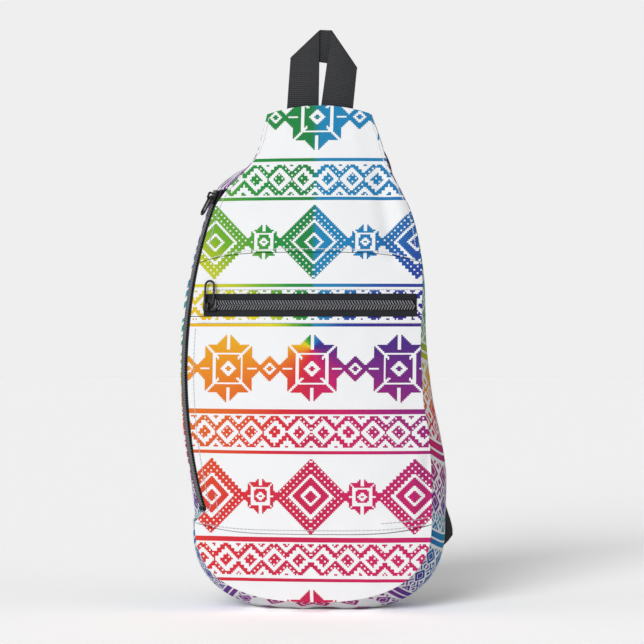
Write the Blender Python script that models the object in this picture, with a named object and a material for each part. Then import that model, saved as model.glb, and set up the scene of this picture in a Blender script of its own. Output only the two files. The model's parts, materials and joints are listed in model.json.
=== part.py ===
"""A sling bag that stands on its bottom, in metres, with +Z up and its front facing -Y.

Sewn panels and gussets are hollow shells with a working zip down the left edge and another across
the front. The shoulder strap hangs behind the back panel. The origin is on the floor, under the
middle of the whole bag.
"""

import math

import bmesh
import bpy
from mathutils import Matrix, Vector

# Cloth and clearances
WALL = 0.0024  # printed fabric with its foam and lining
BACK_WALL = 0.0042  # padded mesh of the back
SHEET = 0.0012  # single sheet behind the pocket
GAP = 0.0003  # between pieces that touch
SEAM = 0.0006  # between panels sewn edge to edge, whose walls lean together inside
TAPE_SEAM = 0.0027  # between the side zip's back tape and the gusset, whose wall leans towards it

# Place of the whole bag over the origin
SHIFT = Vector((0.0034, 0.0020, 0.0))

# Front and back seams lie in two leaning planes
FRONT_FOOT_Y = -0.0445
FRONT_LEAN = 0.1004
BACK_FOOT_Y = 0.0390
BACK_LEAN = -0.0720

# Right edge of the front panel as (height, distance from the middle), bottom to top
FRONT_EDGE = (
    (0.067, 0.0905), (0.100, 0.0898), (0.130, 0.0880), (0.160, 0.0830), (0.200, 0.0808),
    (0.245, 0.0818), (0.280, 0.0785), (0.305, 0.0715), (0.337, 0.0548), (0.360, 0.0478), (0.3785, 0.0405),
)
# Left edge of the front panel above the side zip
SHOULDER_EDGE = ((0.3225, 0.0700), (0.3300, 0.0615), (0.3380, 0.0525), (0.3480, 0.0465), (0.3785, 0.0395))
# Right edge of the back panel
BACK_EDGE = (
    (0.067, 0.0925), (0.100, 0.0935), (0.130, 0.0880), (0.160, 0.0800), (0.200, 0.0765),
    (0.245, 0.0750), (0.280, 0.0705), (0.305, 0.0630), (0.337, 0.0480), (0.360, 0.0435), (0.3785, 0.0390),
)
# Left edge of the back panel, which follows the bulge of the side zip
BACK_LEFT_EDGE = (
    (0.067, 0.0925), (0.130, 0.0955), (0.200, 0.0940), (0.260, 0.0905), (0.300, 0.0790),
    (0.3225, 0.0650), (0.338, 0.0500), (0.350, 0.0430), (0.3785, 0.0385),
)
FRONT_HALF = FRONT_EDGE[0][1]
BACK_HALF = BACK_EDGE[0][1]
SIDE_TOP = 0.3785
CROWN = 0.0065  # rise of the top seam's arch
CORNER_TOP = 0.067  # where the sides turn into the rounded bottom
FRONT_BOTTOM = 0.0070
BACK_BOTTOM = 0.0062
CORNER_POWER = 2.5  # of the superellipse that rounds the bottom

# Stuffed shape
FRONT_BULGE = ((0.007, 0.0), (0.030, 0.0075), (0.067, 0.0135), (0.120, 0.0170), (0.232, 0.0170),
               (0.300, 0.0135), (0.345, 0.0080), (0.385, 0.0030))
BACK_BULGE = 0.0050
GUSSET_BULGE = (
    (0.067, 0.0060), (0.100, 0.0068), (0.160, 0.0060), (0.220, 0.0042), (0.300, 0.0018), (0.3785, 0.0010),
)
LEFT_BULGE = (
    (0.067, 0.0029), (0.0735, 0.0068), (0.100, 0.0045), (0.130, 0.0025), (0.200, 0.0018), (0.3785, 0.0006),
)
BOTTOM_BULGE = 0.0120
POCKET_DEPTH = 0.0100  # of the back sheet behind the front, where the pocket is deepest

# Seams across the front, as heights at the side edges
BASE_SEAM = 0.0665
BASE_SEAM_DIP = 0.0075
HEADER_SEAM = 0.2640
HEADER_SEAM_RISE = 0.0075
SHOULDER_EASE = 0.012  # height over which the front's left edge leaves the side zip
SHOULDER_STEP = 0.020  # height over which the left gusset closes in above the side zip
FOOT_CLEAR = 0.0018  # under the left gusset, whose wall leans down there
TOP_HALF = 0.0355

# Fineness of the panels
FRONT_COLUMNS = 14
GUSSET_COLUMNS = 5

# Zips: exposed width, chain and thickness
ZIP_WIDTH = 0.0170
CHAIN_WIDTH = 0.0070
CHAIN_SLOT = 0.0012  # the slider's web runs in it
TAPE = 0.0006
CHAIN_THICK = 0.0024
SLIDER_LENGTH = 0.0110
SLIDER_WIDTH = 0.0092
SLIDER_PLATE = 0.0012
SLIDER_STOP = 0.0005  # a closed slider rests this far from its zip's end
MAIN_PULL_LENGTH = 0.0178
MAIN_PULL_LEAN = math.radians(7)  # the side zip's pull stands off its zip by this
PULL_WIDTH = 0.0092
PULL_WIRE = 0.0017
BAIL_HEIGHT = 0.0042
BAIL_WIRE = 0.0014
BAIL_REACH = 0.0030  # half the arch's span
BAIL_CORNER = 0.0010
BAIL_SUNK = 0.0004  # into the slider's plate
POCKET_BAIL_DROP = 0.0014  # the pocket slider's arch stands across the zip, this far below its middle
POCKET_PULL_LENGTH = 0.0220

# Side zip: an arc in a plane that runs beside the front seam
SIDE_ZIP_RADIUS = 0.3870
SIDE_ZIP_CENTRE_X = 0.2848
SIDE_ZIP_CENTRE_Z = 0.1865
SIDE_ZIP_TOP = 0.3225
SIDE_ZIP_BOTTOM = 0.0735
ZIP_END = 0.0022  # from the opening's ends to the zip's
SIDE_ZIP_TURN = math.radians(27.0)  # of the band out of the seam's direction

# Pocket zip: an arc about an upright axis
POCKET_ZIP_Z = 0.2315
POCKET_ZIP_LEFT = -0.0855
POCKET_ZIP_RIGHT = 0.0775
POCKET_ZIP_SINK = 0.0004  # of the pocket zip behind the front

# Handle: one strip of webbing with two diagonal folds
WEBBING_WIDTH = 0.0252
WEBBING = 0.0014
FOLD_RADIUS = 0.0011
HANDLE_LEFT = -0.0252
HANDLE_SPLIT = 0.0006  # between the feet of the two legs
HANDLE_LEAN = math.radians(8.0)  # of the right leg, outwards
HANDLE_TOP = 0.4435
HANDLE_TUCK = 0.0035  # below the top of the sides
FOLD_STEPS = 5
HANDLE_SLOT = WEBBING + 2 * GAP

# Padded strap behind the back panel, as (height, value): its middle and its gap from the back
STRAP_X = ((0.175, 0.0600), (0.230, 0.0470), (0.290, 0.0360), (0.345, 0.0210), (0.3765, 0.0060))
STRAP_GAP = ((0.175, 0.0055), (0.230, 0.0080), (0.290, 0.0090), (0.345, 0.0040), (0.3765, 0.0012))
PAD_WIDTH = 0.0540
PAD_THICK = 0.0085
PAD_TAPER = 0.0200
PAD_ROWS = 18
PAD_SEWN = 0.0007  # between the pad's slanting outside and the webbing sewn on it
PAD_END_WIDTH = 0.0310
PAD_END_THICK = 0.0030

# Straight webbing below the pad, its ring and the loop that holds the ring
STRAP_END = (0.0788, 0.0458, 0.0890)
STRAP_WEBBING = 0.0250
RETURN_START = 0.0040  # of the returning end, above the ring's bar
RING_WIRE = 0.0030
RING_LENGTH = 0.0130
RING_CORNER = 0.0018
RING_PLAY = 0.0005  # between webbing and ring or adjuster at each side
LOOP_LENGTH = 0.0220

# Adjuster: two rails, end bars outside the webbing and a middle bar inside it
ADJUSTER_LENGTH = 0.0240
ADJUSTER_BAR = 0.0034
ADJUSTER_RAIL = 0.0031
ADJUSTER_PLATE = 0.0013
ADJUSTER_REST = 0.0620  # of its middle bar above the ring's bar, along the strap

# Corner patch that holds the ring's loop, as (height, right edge)
WING_EDGE = ((0.0440, 0.0925), (0.0540, 0.1005), (0.0800, 0.0940))
WING_LEFT = 0.0680
WING_THICK = 0.0022

COLOURS = {
    "printed_fabric": ((0.88, 0.88, 0.89), 0.85, 0.0),
    "gusset_fabric": ((0.72, 0.74, 0.86), 0.85, 0.0),
    "black_mesh": ((0.03, 0.03, 0.032), 0.9, 0.0),
    "black_webbing": ((0.025, 0.025, 0.027), 0.8, 0.0),
    "zip_tape": ((0.03, 0.03, 0.032), 0.8, 0.0),
    "zip_coil": ((0.02, 0.02, 0.021), 0.45, 0.0),
    "black_metal": ((0.03, 0.03, 0.03), 0.35, 1.0),
    "black_plastic": ((0.025, 0.025, 0.025), 0.4, 0.0),
}


def clear_scene():
    for item in list(bpy.data.objects):
        bpy.data.objects.remove(item, do_unlink=True)


def material(name):
    found = bpy.data.materials.get(name)
    if found:
        return found
    made = bpy.data.materials.new(name)
    made.use_nodes = True
    colour, roughness, metallic = COLOURS[name]
    shader = made.node_tree.nodes["Principled BSDF"]
    shader.inputs["Base Color"].default_value = (*colour, 1.0)
    shader.inputs["Roughness"].default_value = roughness
    shader.inputs["Metallic"].default_value = metallic
    return made


def add_object(name, finish, mesh_data, parent=None, smooth_angle=35.0):
    """Link a mesh as an object with its material, shaded smooth where it turns gently."""
    item = bpy.data.objects.new(name, mesh_data)
    mesh_data.materials.append(material(finish))
    mesh_data.shade_smooth()
    mesh_data.set_sharp_from_angle(angle=math.radians(smooth_angle))
    bpy.context.collection.objects.link(item)
    if parent:
        item.parent = parent
        item.matrix_parent_inverse = parent.matrix_world.inverted()
    return item


def mesh_of(name, points, faces):
    made = bpy.data.meshes.new(name)
    made.from_pydata([tuple(p) for p in points], [], faces)
    made.update()
    return made


def pivot(name, place, axis):
    """An empty on a joint's axis, with its own Z along that axis."""
    item = bpy.data.objects.new(name, None)
    item.matrix_world = Matrix.Translation(place) @ axis.to_track_quat("Z", "Y").to_matrix().to_4x4()
    item.empty_display_size = 0.01
    bpy.context.collection.objects.link(item)
    bpy.context.view_layer.update()
    return item


def smooth_value(stations, at):
    """Value at a height on the smooth curve through (height, value) stations."""
    if at <= stations[0][0]:
        return stations[0][1]
    if at >= stations[-1][0]:
        return stations[-1][1]
    k = max(i for i in range(len(stations) - 1) if stations[i][0] <= at)
    (x0, y0), (x1, y1) = stations[k], stations[k + 1]
    slope = (y1 - y0) / (x1 - x0)

    def tangent(i):
        if i in (0, len(stations) - 1):
            return slope
        before = (stations[i][1] - stations[i - 1][1]) / (stations[i][0] - stations[i - 1][0])
        after = (stations[i + 1][1] - stations[i][1]) / (stations[i + 1][0] - stations[i][0])
        return 0.0 if before * after <= 0 else 2 * before * after / (before + after)

    span = x1 - x0
    t = (at - x0) / span
    return (
        y0 * (1 + 2 * t) * (1 - t) ** 2
        + y1 * t * t * (3 - 2 * t)
        + span * (tangent(k) * t * (1 - t) ** 2 - tangent(k + 1) * t * t * (1 - t))
    )


def blend(a, b, t):
    return a + (b - a) * t


def ease(t):
    t = min(1.0, max(0.0, t))
    return t * t * (3 - 2 * t)


def front_y(z):
    return FRONT_FOOT_Y + FRONT_LEAN * z


def back_y(z):
    return BACK_FOOT_Y + BACK_LEAN * z


class Band:
    """A zip's band: a strip turned about an axis, so that a slider on it moves on a hinge.

    A place on it is an angle, a distance b across the strip and a height m out of it.
    """

    def __init__(self, centre, axis, zero, radius, turn):
        self.centre = Vector(centre)
        self.axis = Vector(axis).normalized()
        self.zero = Vector(zero).normalized()
        self.radius = radius
        self.turn = turn

    def out(self, angle):
        return self.zero * math.cos(angle) + self.axis.cross(self.zero) * math.sin(angle)

    def place(self, angle, b=0.0, m=0.0):
        radial = self.radius + b * math.sin(self.turn) + m * math.cos(self.turn)
        axial = -b * math.cos(self.turn) + m * math.sin(self.turn)
        return self.centre + self.out(angle) * radial + self.axis * axial

    def frame(self, angle):
        """Matrix whose X runs back along the zip, Y across the strip and Z out of it."""
        along = self.out(angle).cross(self.axis)
        outward = self.out(angle) * math.cos(self.turn) + self.axis * math.sin(self.turn)
        across = outward.cross(along)
        turned = Matrix((along, across, outward)).transposed().to_4x4()
        return Matrix.Translation(self.place(angle)) @ turned


def side_zip_band():
    """The side zip's plane keeps a half band behind the front seam's plane."""
    axis = Vector((0.0, -1.0, FRONT_LEAN))
    behind = 0.5 * ZIP_WIDTH * math.cos(SIDE_ZIP_TURN) + WALL + GAP
    centre = Vector((SIDE_ZIP_CENTRE_X, front_y(SIDE_ZIP_CENTRE_Z) + behind, SIDE_ZIP_CENTRE_Z))
    return Band(centre, axis, (-1.0, 0.0, 0.0), SIDE_ZIP_RADIUS, SIDE_ZIP_TURN)


SIDE_ZIP = side_zip_band()


def side_zip_angle(z):
    """Angle on the side zip's arc at a height; the arc turns downwards as it grows."""
    return math.asin((SIDE_ZIP_CENTRE_Z - z) / SIDE_ZIP_RADIUS * math.sqrt(1 + FRONT_LEAN**2))


def bottom_outline(half_width, bottom, count):
    """Points (x, z) from the left side round the bottom to the right side, evenly spaced."""
    steps = 240
    dense = []
    for i in range(steps + 1):
        angle = math.pi * i / steps
        x = -math.copysign(abs(math.cos(angle)) ** (2 / CORNER_POWER), math.cos(angle)) * half_width
        z = CORNER_TOP - (CORNER_TOP - bottom) * abs(math.sin(angle)) ** (2 / CORNER_POWER)
        dense.append((x, z))
    lengths = [0.0]
    for a, b in zip(dense, dense[1:]):
        lengths.append(lengths[-1] + math.dist(a, b))
    found = []
    for i in range(count + 1):
        want = lengths[-1] * i / count
        k = max(j for j in range(steps) if lengths[j] <= want + 1e-12)
        t = (want - lengths[k]) / (lengths[k + 1] - lengths[k])
        found.append((blend(dense[k][0], dense[k + 1][0], t), blend(dense[k][1], dense[k + 1][1], t)))
    return found


def front_right(z):
    return smooth_value(FRONT_EDGE, z)


def front_left(z):
    """Left edge of the front: the zip's front edge, then the shoulder above it."""
    if z >= SIDE_ZIP_TOP:
        return -smooth_value(SHOULDER_EDGE, z)
    if z <= SIDE_ZIP_BOTTOM:
        step = ease((z - BASE_SEAM) / (SIDE_ZIP_BOTTOM - BASE_SEAM))
        return blend(-FRONT_HALF, side_edge(SIDE_ZIP_BOTTOM).x, step)
    top = ease((z - SIDE_ZIP_TOP + SHOULDER_EASE) / SHOULDER_EASE)
    low = ease((SIDE_ZIP_BOTTOM + SHOULDER_EASE - z) / SHOULDER_EASE)
    edge = side_edge(z).x
    edge = blend(edge, -SHOULDER_EDGE[0][1], top)
    return blend(edge, side_edge(SIDE_ZIP_BOTTOM).x, low)


def side_edge(z):
    return SIDE_ZIP.place(side_zip_angle(z), -0.5 * ZIP_WIDTH - GAP)


def top_edge(z_side, share):
    """Height of the arched top seam at a share of its width."""
    return z_side + CROWN * (1 - (2 * share - 1) ** 2)


def front_point(x_left, x_right, z_left, z_right, share, lift=0.0):
    """A point of the front's bulging surface between its left and right edges."""
    z = blend(z_left, z_right, share) + lift
    half = 0.5 * (x_right - x_left)
    bulge = smooth_value(FRONT_BULGE, z)
    x = blend(x_left, x_right, share)
    off = x - 0.5 * (x_left + x_right)
    if bulge > 1e-6:
        radius = (half * half + bulge * bulge) / (2 * bulge)
        bulge -= radius - math.sqrt(max(radius * radius - off * off, 0.0))
    return Vector((x, front_y(z) - bulge, z))


def grid_faces(columns, rows, keep=None):
    faces = []
    for j in range(rows):
        for i in range(columns):
            if keep and not keep(i, j):
                continue
            a = j * (columns + 1) + i
            faces.append((a, a + 1, a + columns + 2, a + columns + 1))
    return faces


def shell(name, finish, points, columns, rows, wall, keep=None, flip=False, even=True):
    """A sheet of quads with a wall behind it, closed at its rim."""
    faces = grid_faces(columns, rows, keep)
    if flip:
        faces = [face[::-1] for face in faces]
    used = sorted({i for face in faces for i in face})
    index = {old: new for new, old in enumerate(used)}
    faces = [tuple(index[i] for i in face) for face in faces]
    made = mesh_of(name, [points[i] + SHIFT for i in used], faces)
    item = add_object(name, finish, made)
    solid = item.modifiers.new("wall", "SOLIDIFY")
    solid.thickness = wall
    solid.offset = -1.0
    solid.use_even_offset = even
    return item


def front_panel(name, low, high, rows, low_lift=0.0, high_lift=0.0):
    """A printed panel of the front between two heights, whose seams may rise or dip in the middle."""
    points = []
    for j in range(rows + 1):
        t = j / rows
        z = blend(low, high, t)
        for i in range(FRONT_COLUMNS + 1):
            share = i / FRONT_COLUMNS
            arch = 1 - (2 * share - 1) ** (2 if j == rows and high_lift == CROWN else 4)
            lift = blend(low_lift, high_lift, t) * arch
            points.append(front_point(front_left(z), front_right(z), z, z, share, lift))
    return shell(name, "printed_fabric", points, FRONT_COLUMNS, rows, WALL)


def pocket_header_panel(half_zip):
    """The strip over the pocket's zip, with a short tab down past each end of the zip."""
    window, above = 2, 4
    columns = FRONT_COLUMNS
    low, high = POCKET_ZIP_Z - half_zip + SEAM, POCKET_ZIP_Z + half_zip
    heights = [blend(low, high, k / window) for k in range(window)]
    heights += [blend(high, HEADER_SEAM, k / above) for k in range(above + 1)]
    points = []
    for j, z in enumerate(heights):
        left, right = front_left(z), front_right(z)
        rise = HEADER_SEAM_RISE * max(0, j - window) / above
        inner_left = (POCKET_ZIP_LEFT - SEAM - left) / (right - left)
        inner_right = (POCKET_ZIP_RIGHT + SEAM - left) / (right - left)
        for i in range(columns + 1):
            share = blend(inner_left, inner_right, (i - 1) / (columns - 2))
            share = min(1.0, max(0.0, share)) if 0 < i < columns else float(i > 0)
            points.append(front_point(left, right, z, z, share, rise * (1 - (2 * share - 1) ** 4)))
    shell(
        "pocket_header_panel", "printed_fabric", points, columns, len(heights) - 1, WALL,
        keep=lambda i, j: j >= window or i in (0, columns - 1),
    )


def front_base_panel():
    """The band under the lower seam, ruled from the seam to the rounded bottom edge."""
    columns, rows = 22, 5
    outline = bottom_outline(FRONT_HALF, FRONT_BOTTOM, 36)
    skip = 2
    outline = outline[skip:-skip]
    points = []
    for j in range(rows + 1):
        t = j / rows
        for i in range(columns + 1):
            share = i / columns
            at = share * (len(outline) - 1)
            k = min(int(at), len(outline) - 2)
            x_low = blend(outline[k][0], outline[k + 1][0], at - k)
            z_low = blend(outline[k][1], outline[k + 1][1], at - k)
            seam = BASE_SEAM - SEAM - BASE_SEAM_DIP * (1 - (2 * share - 1) ** 4)
            x_high = blend(front_left(BASE_SEAM), front_right(BASE_SEAM), share)
            x, z = blend(x_low, x_high, t), blend(z_low, seam, t)
            half = superellipse_half(z)
            bulge = smooth_value(FRONT_BULGE, z) * max(0.0, 1 - (x / half) ** 2)
            points.append(Vector((x, front_y(z) - bulge, z)))
    return shell("front_base_panel", "printed_fabric", points, columns, rows, WALL)


def superellipse_half(z):
    q = min(1.0, max(0.0, (CORNER_TOP - z) / (CORNER_TOP - FRONT_BOTTOM + 0.0001)))
    return FRONT_HALF * (1 - q**CORNER_POWER) ** (1 / CORNER_POWER) + 0.0005


def front_panels():
    half_zip = 0.5 * ZIP_WIDTH + GAP
    front_panel("front_panel_upper", HEADER_SEAM + SEAM, SIDE_TOP, 15, HEADER_SEAM_RISE, CROWN)
    pocket_header_panel(half_zip)
    front_panel("front_pocket_panel", BASE_SEAM, POCKET_ZIP_Z - half_zip, 16, -BASE_SEAM_DIP, 0.0)
    front_base_panel()
    pocket_back_wall()


def pocket_back_wall():
    """The sheet behind the pocket, from the header seam to the lower seam."""
    columns, rows = 8, 8
    low, high = BASE_SEAM + 0.010, HEADER_SEAM - 0.004
    points = []
    for j in range(rows + 1):
        z = blend(low, high, j / rows)
        near = ease(min(high - z, z - low) / 0.035)
        depth = WALL + GAP + blend(0.0006, POCKET_DEPTH, near)
        left, right = front_left(z) + WALL + 0.005, front_right(z) - WALL - 0.003
        for i in range(columns + 1):
            share = i / columns
            face_share = (blend(left, right, share) - front_left(z)) / (front_right(z) - front_left(z))
            face = front_point(front_left(z), front_right(z), z, z, face_share)
            edge = ease(min(share, 1 - share) / 0.2)
            points.append(face + Vector((0.0, blend(WALL + GAP + 0.0006, depth, edge), 0.0)))
    return shell("pocket_back_wall", "black_webbing", points, columns, rows, SHEET)


def back_sides(z):
    """Left and right edges of the back panel at a height."""
    if z >= CORNER_TOP:
        return -smooth_value(BACK_LEFT_EDGE, z), smooth_value(BACK_EDGE, z)
    q = (CORNER_TOP - z) / (CORNER_TOP - BACK_BOTTOM)
    half = BACK_HALF * (1 - q**CORNER_POWER) ** (1 / CORNER_POWER)
    return -half, half


def back_surface(x, z):
    """How far back the outside of the back panel is; past its edge it goes on level."""
    left, right = back_sides(z)
    s = min(1.0, max(-1.0, (2 * x - left - right) / (right - left)))
    return back_y(z) + BACK_BULGE * (1 - s**4) * ease((z - BACK_BOTTOM) / 0.05) * ease((SIDE_TOP - z) / 0.06)


def back_panel():
    """Padded back: a slightly crowned panel with a rounded bottom."""
    columns, rows, corner_rows = 14, 16, 6
    heights = [blend(BACK_BOTTOM + 0.0008, CORNER_TOP, (j / corner_rows) ** 1.6) for j in range(corner_rows)]
    heights += [blend(CORNER_TOP, SIDE_TOP, j / rows) for j in range(rows + 1)]
    points = []
    for z in heights:
        left, right = back_sides(z)
        crown = CROWN * ease((z - SIDE_TOP + 0.03) / 0.03)
        for i in range(columns + 1):
            share = i / columns
            x = blend(left, right, share)
            points.append(Vector((x, back_surface(x, z), z + crown * (1 - (2 * share - 1) ** 2))))
    return shell("back_panel", "black_mesh", points, columns, len(heights) - 1, BACK_WALL, flip=True)


def strip_row(front, back, side, bulge, floor=False):
    """Points across a gusset from the front seam to the back seam, bulging to one side."""
    row = []
    for i in range(GUSSET_COLUMNS + 1):
        t = i / GUSSET_COLUMNS
        p = front.lerp(back, t) + side * (bulge * 4 * t * (1 - t))
        if floor and p.z < 0:
            p.z = 0.0
        row.append(p)
    return row


def seam_ends(x_front, x_back, z_front, z_back):
    front = Vector((x_front, front_y(z_front) + WALL + GAP, z_front))
    back = Vector((x_back, back_y(z_back) - BACK_WALL - GAP, z_back))
    return front, back


def right_gusset():
    rows = 26
    points = []
    for j in range(rows + 1):
        z = blend(CORNER_TOP + GAP, SIDE_TOP, j / rows)
        front, back = seam_ends(front_right(z), smooth_value(BACK_EDGE, z), z, z)
        points += strip_row(front, back, Vector((1, 0, 0)), smooth_value(GUSSET_BULGE, z))
    shell("right_gusset", "gusset_fabric", points, GUSSET_COLUMNS, rows, WALL)


def left_gusset():
    """The strip behind the side zip; it takes the zip's place above and below the zip's ends."""
    below, along, above = 2, 20, 6
    rows = below + along + above
    foot = CORNER_TOP + FOOT_CLEAR
    heights = [blend(foot, SIDE_ZIP_BOTTOM, k / below) for k in range(below)]
    heights += [blend(SIDE_ZIP_BOTTOM, SIDE_ZIP_TOP, k / along) for k in range(along + 1)]
    heights += [blend(SIDE_ZIP_TOP, SIDE_TOP, (k + 1) / above) for k in range(above)]
    points = []
    for j, z in enumerate(heights):
        front, back = seam_ends(front_left(z), -smooth_value(BACK_LEFT_EDGE, z), z, z)
        inside = min(max(z, SIDE_ZIP_BOTTOM), SIDE_ZIP_TOP)
        edge = SIDE_ZIP.place(side_zip_angle(inside), 0.5 * ZIP_WIDTH + TAPE_SEAM)
        front_end, back_end = seam_ends(0, 0, inside, inside)
        share = (edge.y - front_end.y) / (back_end.y - front_end.y)
        bulge = smooth_value(GUSSET_BULGE, z) * 4 * share * (1 - share)
        strip = front.lerp(back, share) + Vector((-bulge, 0, 0))
        if z > SIDE_ZIP_TOP:
            edge = edge.lerp(strip, ease((z - SIDE_ZIP_TOP) / SHOULDER_STEP))
        elif z < SIDE_ZIP_BOTTOM:
            edge = strip.lerp(edge, ease((z - foot) / (SIDE_ZIP_BOTTOM - foot)))
        edge.z = z
        points += [front] + strip_row(edge, back, Vector((-1, 0, 0)), smooth_value(LEFT_BULGE, z))
    columns = GUSSET_COLUMNS + 1
    shell(
        "left_gusset", "gusset_fabric", points, columns, rows, WALL, flip=True, even=False,
        keep=lambda i, j: i > 0 or j < below or j >= below + along,
    )


def bottom_gusset():
    count = 30
    front_line = bottom_outline(FRONT_HALF, FRONT_BOTTOM, count)
    back_line = bottom_outline(BACK_HALF, BACK_BOTTOM, count)
    points = []
    for k in range(count + 1):
        (xf, zf), (xb, zb) = front_line[k], back_line[k]
        front, back = seam_ends(xf, xb, zf, zb)
        before, after = front_line[max(0, k - 1)], front_line[min(count, k + 1)]
        side = Vector((after[1] - before[1], 0, before[0] - after[0])).normalized()
        down = ease((CORNER_TOP - zf) / (CORNER_TOP - FRONT_BOTTOM))
        bulge = blend(GUSSET_BULGE[0][1], BOTTOM_BULGE, down)
        points += strip_row(front, back, side, bulge, floor=True)
    shell("bottom_gusset", "gusset_fabric", points, GUSSET_COLUMNS, count, WALL)


def top_gusset():
    """Small cap between the front and the back at the top, under the arched seam."""
    columns, rows = 10, 2
    room = HANDLE_SLOT
    points = []
    for j in range(rows + 1):
        t = j / rows
        for i in range(columns + 1):
            share = i / columns
            z = top_edge(SIDE_TOP, share) - 0.0012
            x = blend(-TOP_HALF, TOP_HALF, share)
            y = blend(front_y(z) + WALL + room, back_y(z) - BACK_WALL - GAP, t)
            points.append(Vector((x, y, z + 0.0006 * math.sin(math.pi * t))))
    shell("top_gusset", "gusset_fabric", points, columns, rows, WALL)


def revolve(name, finish, band, section, start, end, steps):
    """A closed solid made by turning a section of (b, m) points along the zip's band."""
    count = len(section)
    points = []
    for j in range(steps + 1):
        angle = blend(start, end, j / steps)
        points += [band.place(angle, b, m) + SHIFT for b, m in section]
    faces = []
    for j in range(steps):
        for i in range(count):
            k = (i + 1) % count
            faces.append((j * count + i, j * count + k, (j + 1) * count + k, (j + 1) * count + i))
    faces.append(tuple(range(count))[::-1])
    faces.append(tuple(steps * count + i for i in range(count)))
    made = mesh_of(name, points, faces)
    outward(made)
    return add_object(name, finish, made)


def outward(mesh_data):
    work = bmesh.new()
    work.from_mesh(mesh_data)
    bmesh.ops.recalc_face_normals(work, faces=work.faces)
    work.to_mesh(mesh_data)
    work.free()


def zip_parts(prefix, sides, band, start, end, steps):
    """Two tapes and two coil halves along a band, from one end angle to the other."""
    half_band, half_chain, half_slot = 0.5 * ZIP_WIDTH, 0.5 * CHAIN_WIDTH, 0.5 * CHAIN_SLOT
    low, high = -0.5 * CHAIN_THICK, 0.5 * CHAIN_THICK
    for side, sign in zip(sides, (-1, 1)):
        tape = [
            (sign * (half_chain + GAP), -TAPE), (sign * half_band, -TAPE),
            (sign * half_band, 0.0), (sign * (half_chain + GAP), 0.0),
        ]
        revolve(f"{prefix}_tape_{side}", "zip_tape", band, tape, start, end, steps)
        chamfer = 0.25 * CHAIN_THICK
        coil = [
            (sign * half_slot, low), (sign * (half_chain - chamfer), low),
            (sign * half_chain, low + chamfer), (sign * half_chain, high - chamfer),
            (sign * (half_chain - chamfer), high), (sign * half_slot, high),
        ]
        revolve(f"{prefix}_coil_{side}", "zip_coil", band, coil, start, end, steps)


def prism(profile, low, high, along):
    """A closed prism: a profile of two coordinates, run along the remaining one of X, Y and Z."""
    work = bmesh.new()
    rings = []
    for value in (low, high):
        ring = []
        for p, q in profile:
            place = {"X": (value, p, q), "Y": (p, value, q), "Z": (p, q, value)}[along]
            ring.append(work.verts.new(place))
        rings.append(ring)
    count = len(profile)
    for i in range(count):
        j = (i + 1) % count
        work.faces.new((rings[0][i], rings[0][j], rings[1][j], rings[1][i]))
    work.faces.new(rings[0][::-1])
    work.faces.new(rings[1])
    bmesh.ops.recalc_face_normals(work, faces=work.faces)
    return work


def object_of(name, finish, work, matrix, parent=None):
    made = bpy.data.meshes.new(name)
    work.to_mesh(made)
    work.free()
    made.transform(matrix)
    return add_object(name, finish, made, parent)


def join(base, helper):
    """Union a helper shape into a piece with a live Boolean."""
    helper.hide_render = True
    helper.display_type = "WIRE"
    modifier = base.modifiers.new("join_" + helper.name, "BOOLEAN")
    modifier.operation = "UNION"
    modifier.object = helper


def ring_tube(points, radius, sides):
    """A closed tube round a loop of points, as a bmesh."""
    work = bmesh.new()
    rings = []
    count = len(points)
    middle = sum((Vector(p) for p in points), Vector()) / count
    normal = (Vector(points[1]) - Vector(points[0])).cross(middle - Vector(points[0])).normalized()
    for k in range(count):
        p = Vector(points[k])
        along = (Vector(points[(k + 1) % count]) - Vector(points[k - 1])).normalized()
        side = along.cross(normal)
        ring = []
        for i in range(sides):
            angle = 2 * math.pi * (i + 0.5) / sides
            ring.append(work.verts.new(p + (side * math.cos(angle) + normal * math.sin(angle)) * radius))
        rings.append(ring)
    for k in range(count):
        a, b = rings[k], rings[(k + 1) % count]
        for i in range(sides):
            j = (i + 1) % sides
            work.faces.new((a[i], a[j], b[j], b[i]))
    bmesh.ops.recalc_face_normals(work, faces=work.faces)
    return work


def stadium(length, width, steps):
    """Points of a long loop with round ends, along X from 0 to length."""
    radius = 0.5 * width
    found = []
    for end, start in ((length - radius, -0.5 * math.pi), (radius, 0.5 * math.pi)):
        for k in range(steps + 1):
            angle = start + math.pi * k / steps
            found.append((end + radius * math.cos(angle), radius * math.sin(angle), 0.0))
    return found


def slider(name, place, bail, parent):
    """Zip slider: two plates joined by a thin web in the chain's slot, and a bail on top."""
    half_l, half_w = 0.5 * SLIDER_LENGTH, 0.5 * SLIDER_WIDTH
    low = 0.5 * CHAIN_THICK + GAP
    top = low + SLIDER_PLATE
    web = 0.5 * CHAIN_SLOT - GAP
    lip = 0.5 * CHAIN_WIDTH + GAP
    half = [
        (half_w, top), (half_w, GAP), (lip, GAP), (lip, low),
        (web, low), (web, -low), (half_w, -low), (half_w, -top),
    ]
    profile = half + [(-b, m) for b, m in reversed(half)]
    matrix = Matrix.Translation(SHIFT) @ place
    body = object_of(name, "black_metal", prism(profile, -half_l, half_l, "X"), matrix, parent)
    arch = prism(bail_profile(top), -0.5 * BAIL_WIRE, 0.5 * BAIL_WIRE, "Y")
    join(body, object_of(name + "_bail", "black_metal", arch, matrix @ bail, parent))
    return body


def bail_profile(top):
    """Side view of the arch that the pull's wire passes under, sunk a little into the plate."""
    reach, sunk, corner = BAIL_REACH, BAIL_SUNK, BAIL_CORNER
    crest = top + BAIL_HEIGHT
    outer = [(-reach, top - sunk), (-reach, crest - corner), (-reach + corner, crest),
             (reach - corner, crest), (reach, crest - corner), (reach, top - sunk)]
    inner = [(x * (1 - BAIL_WIRE / reach), z - (BAIL_WIRE if z > top else 0.0)) for x, z in reversed(outer)]
    return outer + inner


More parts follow.
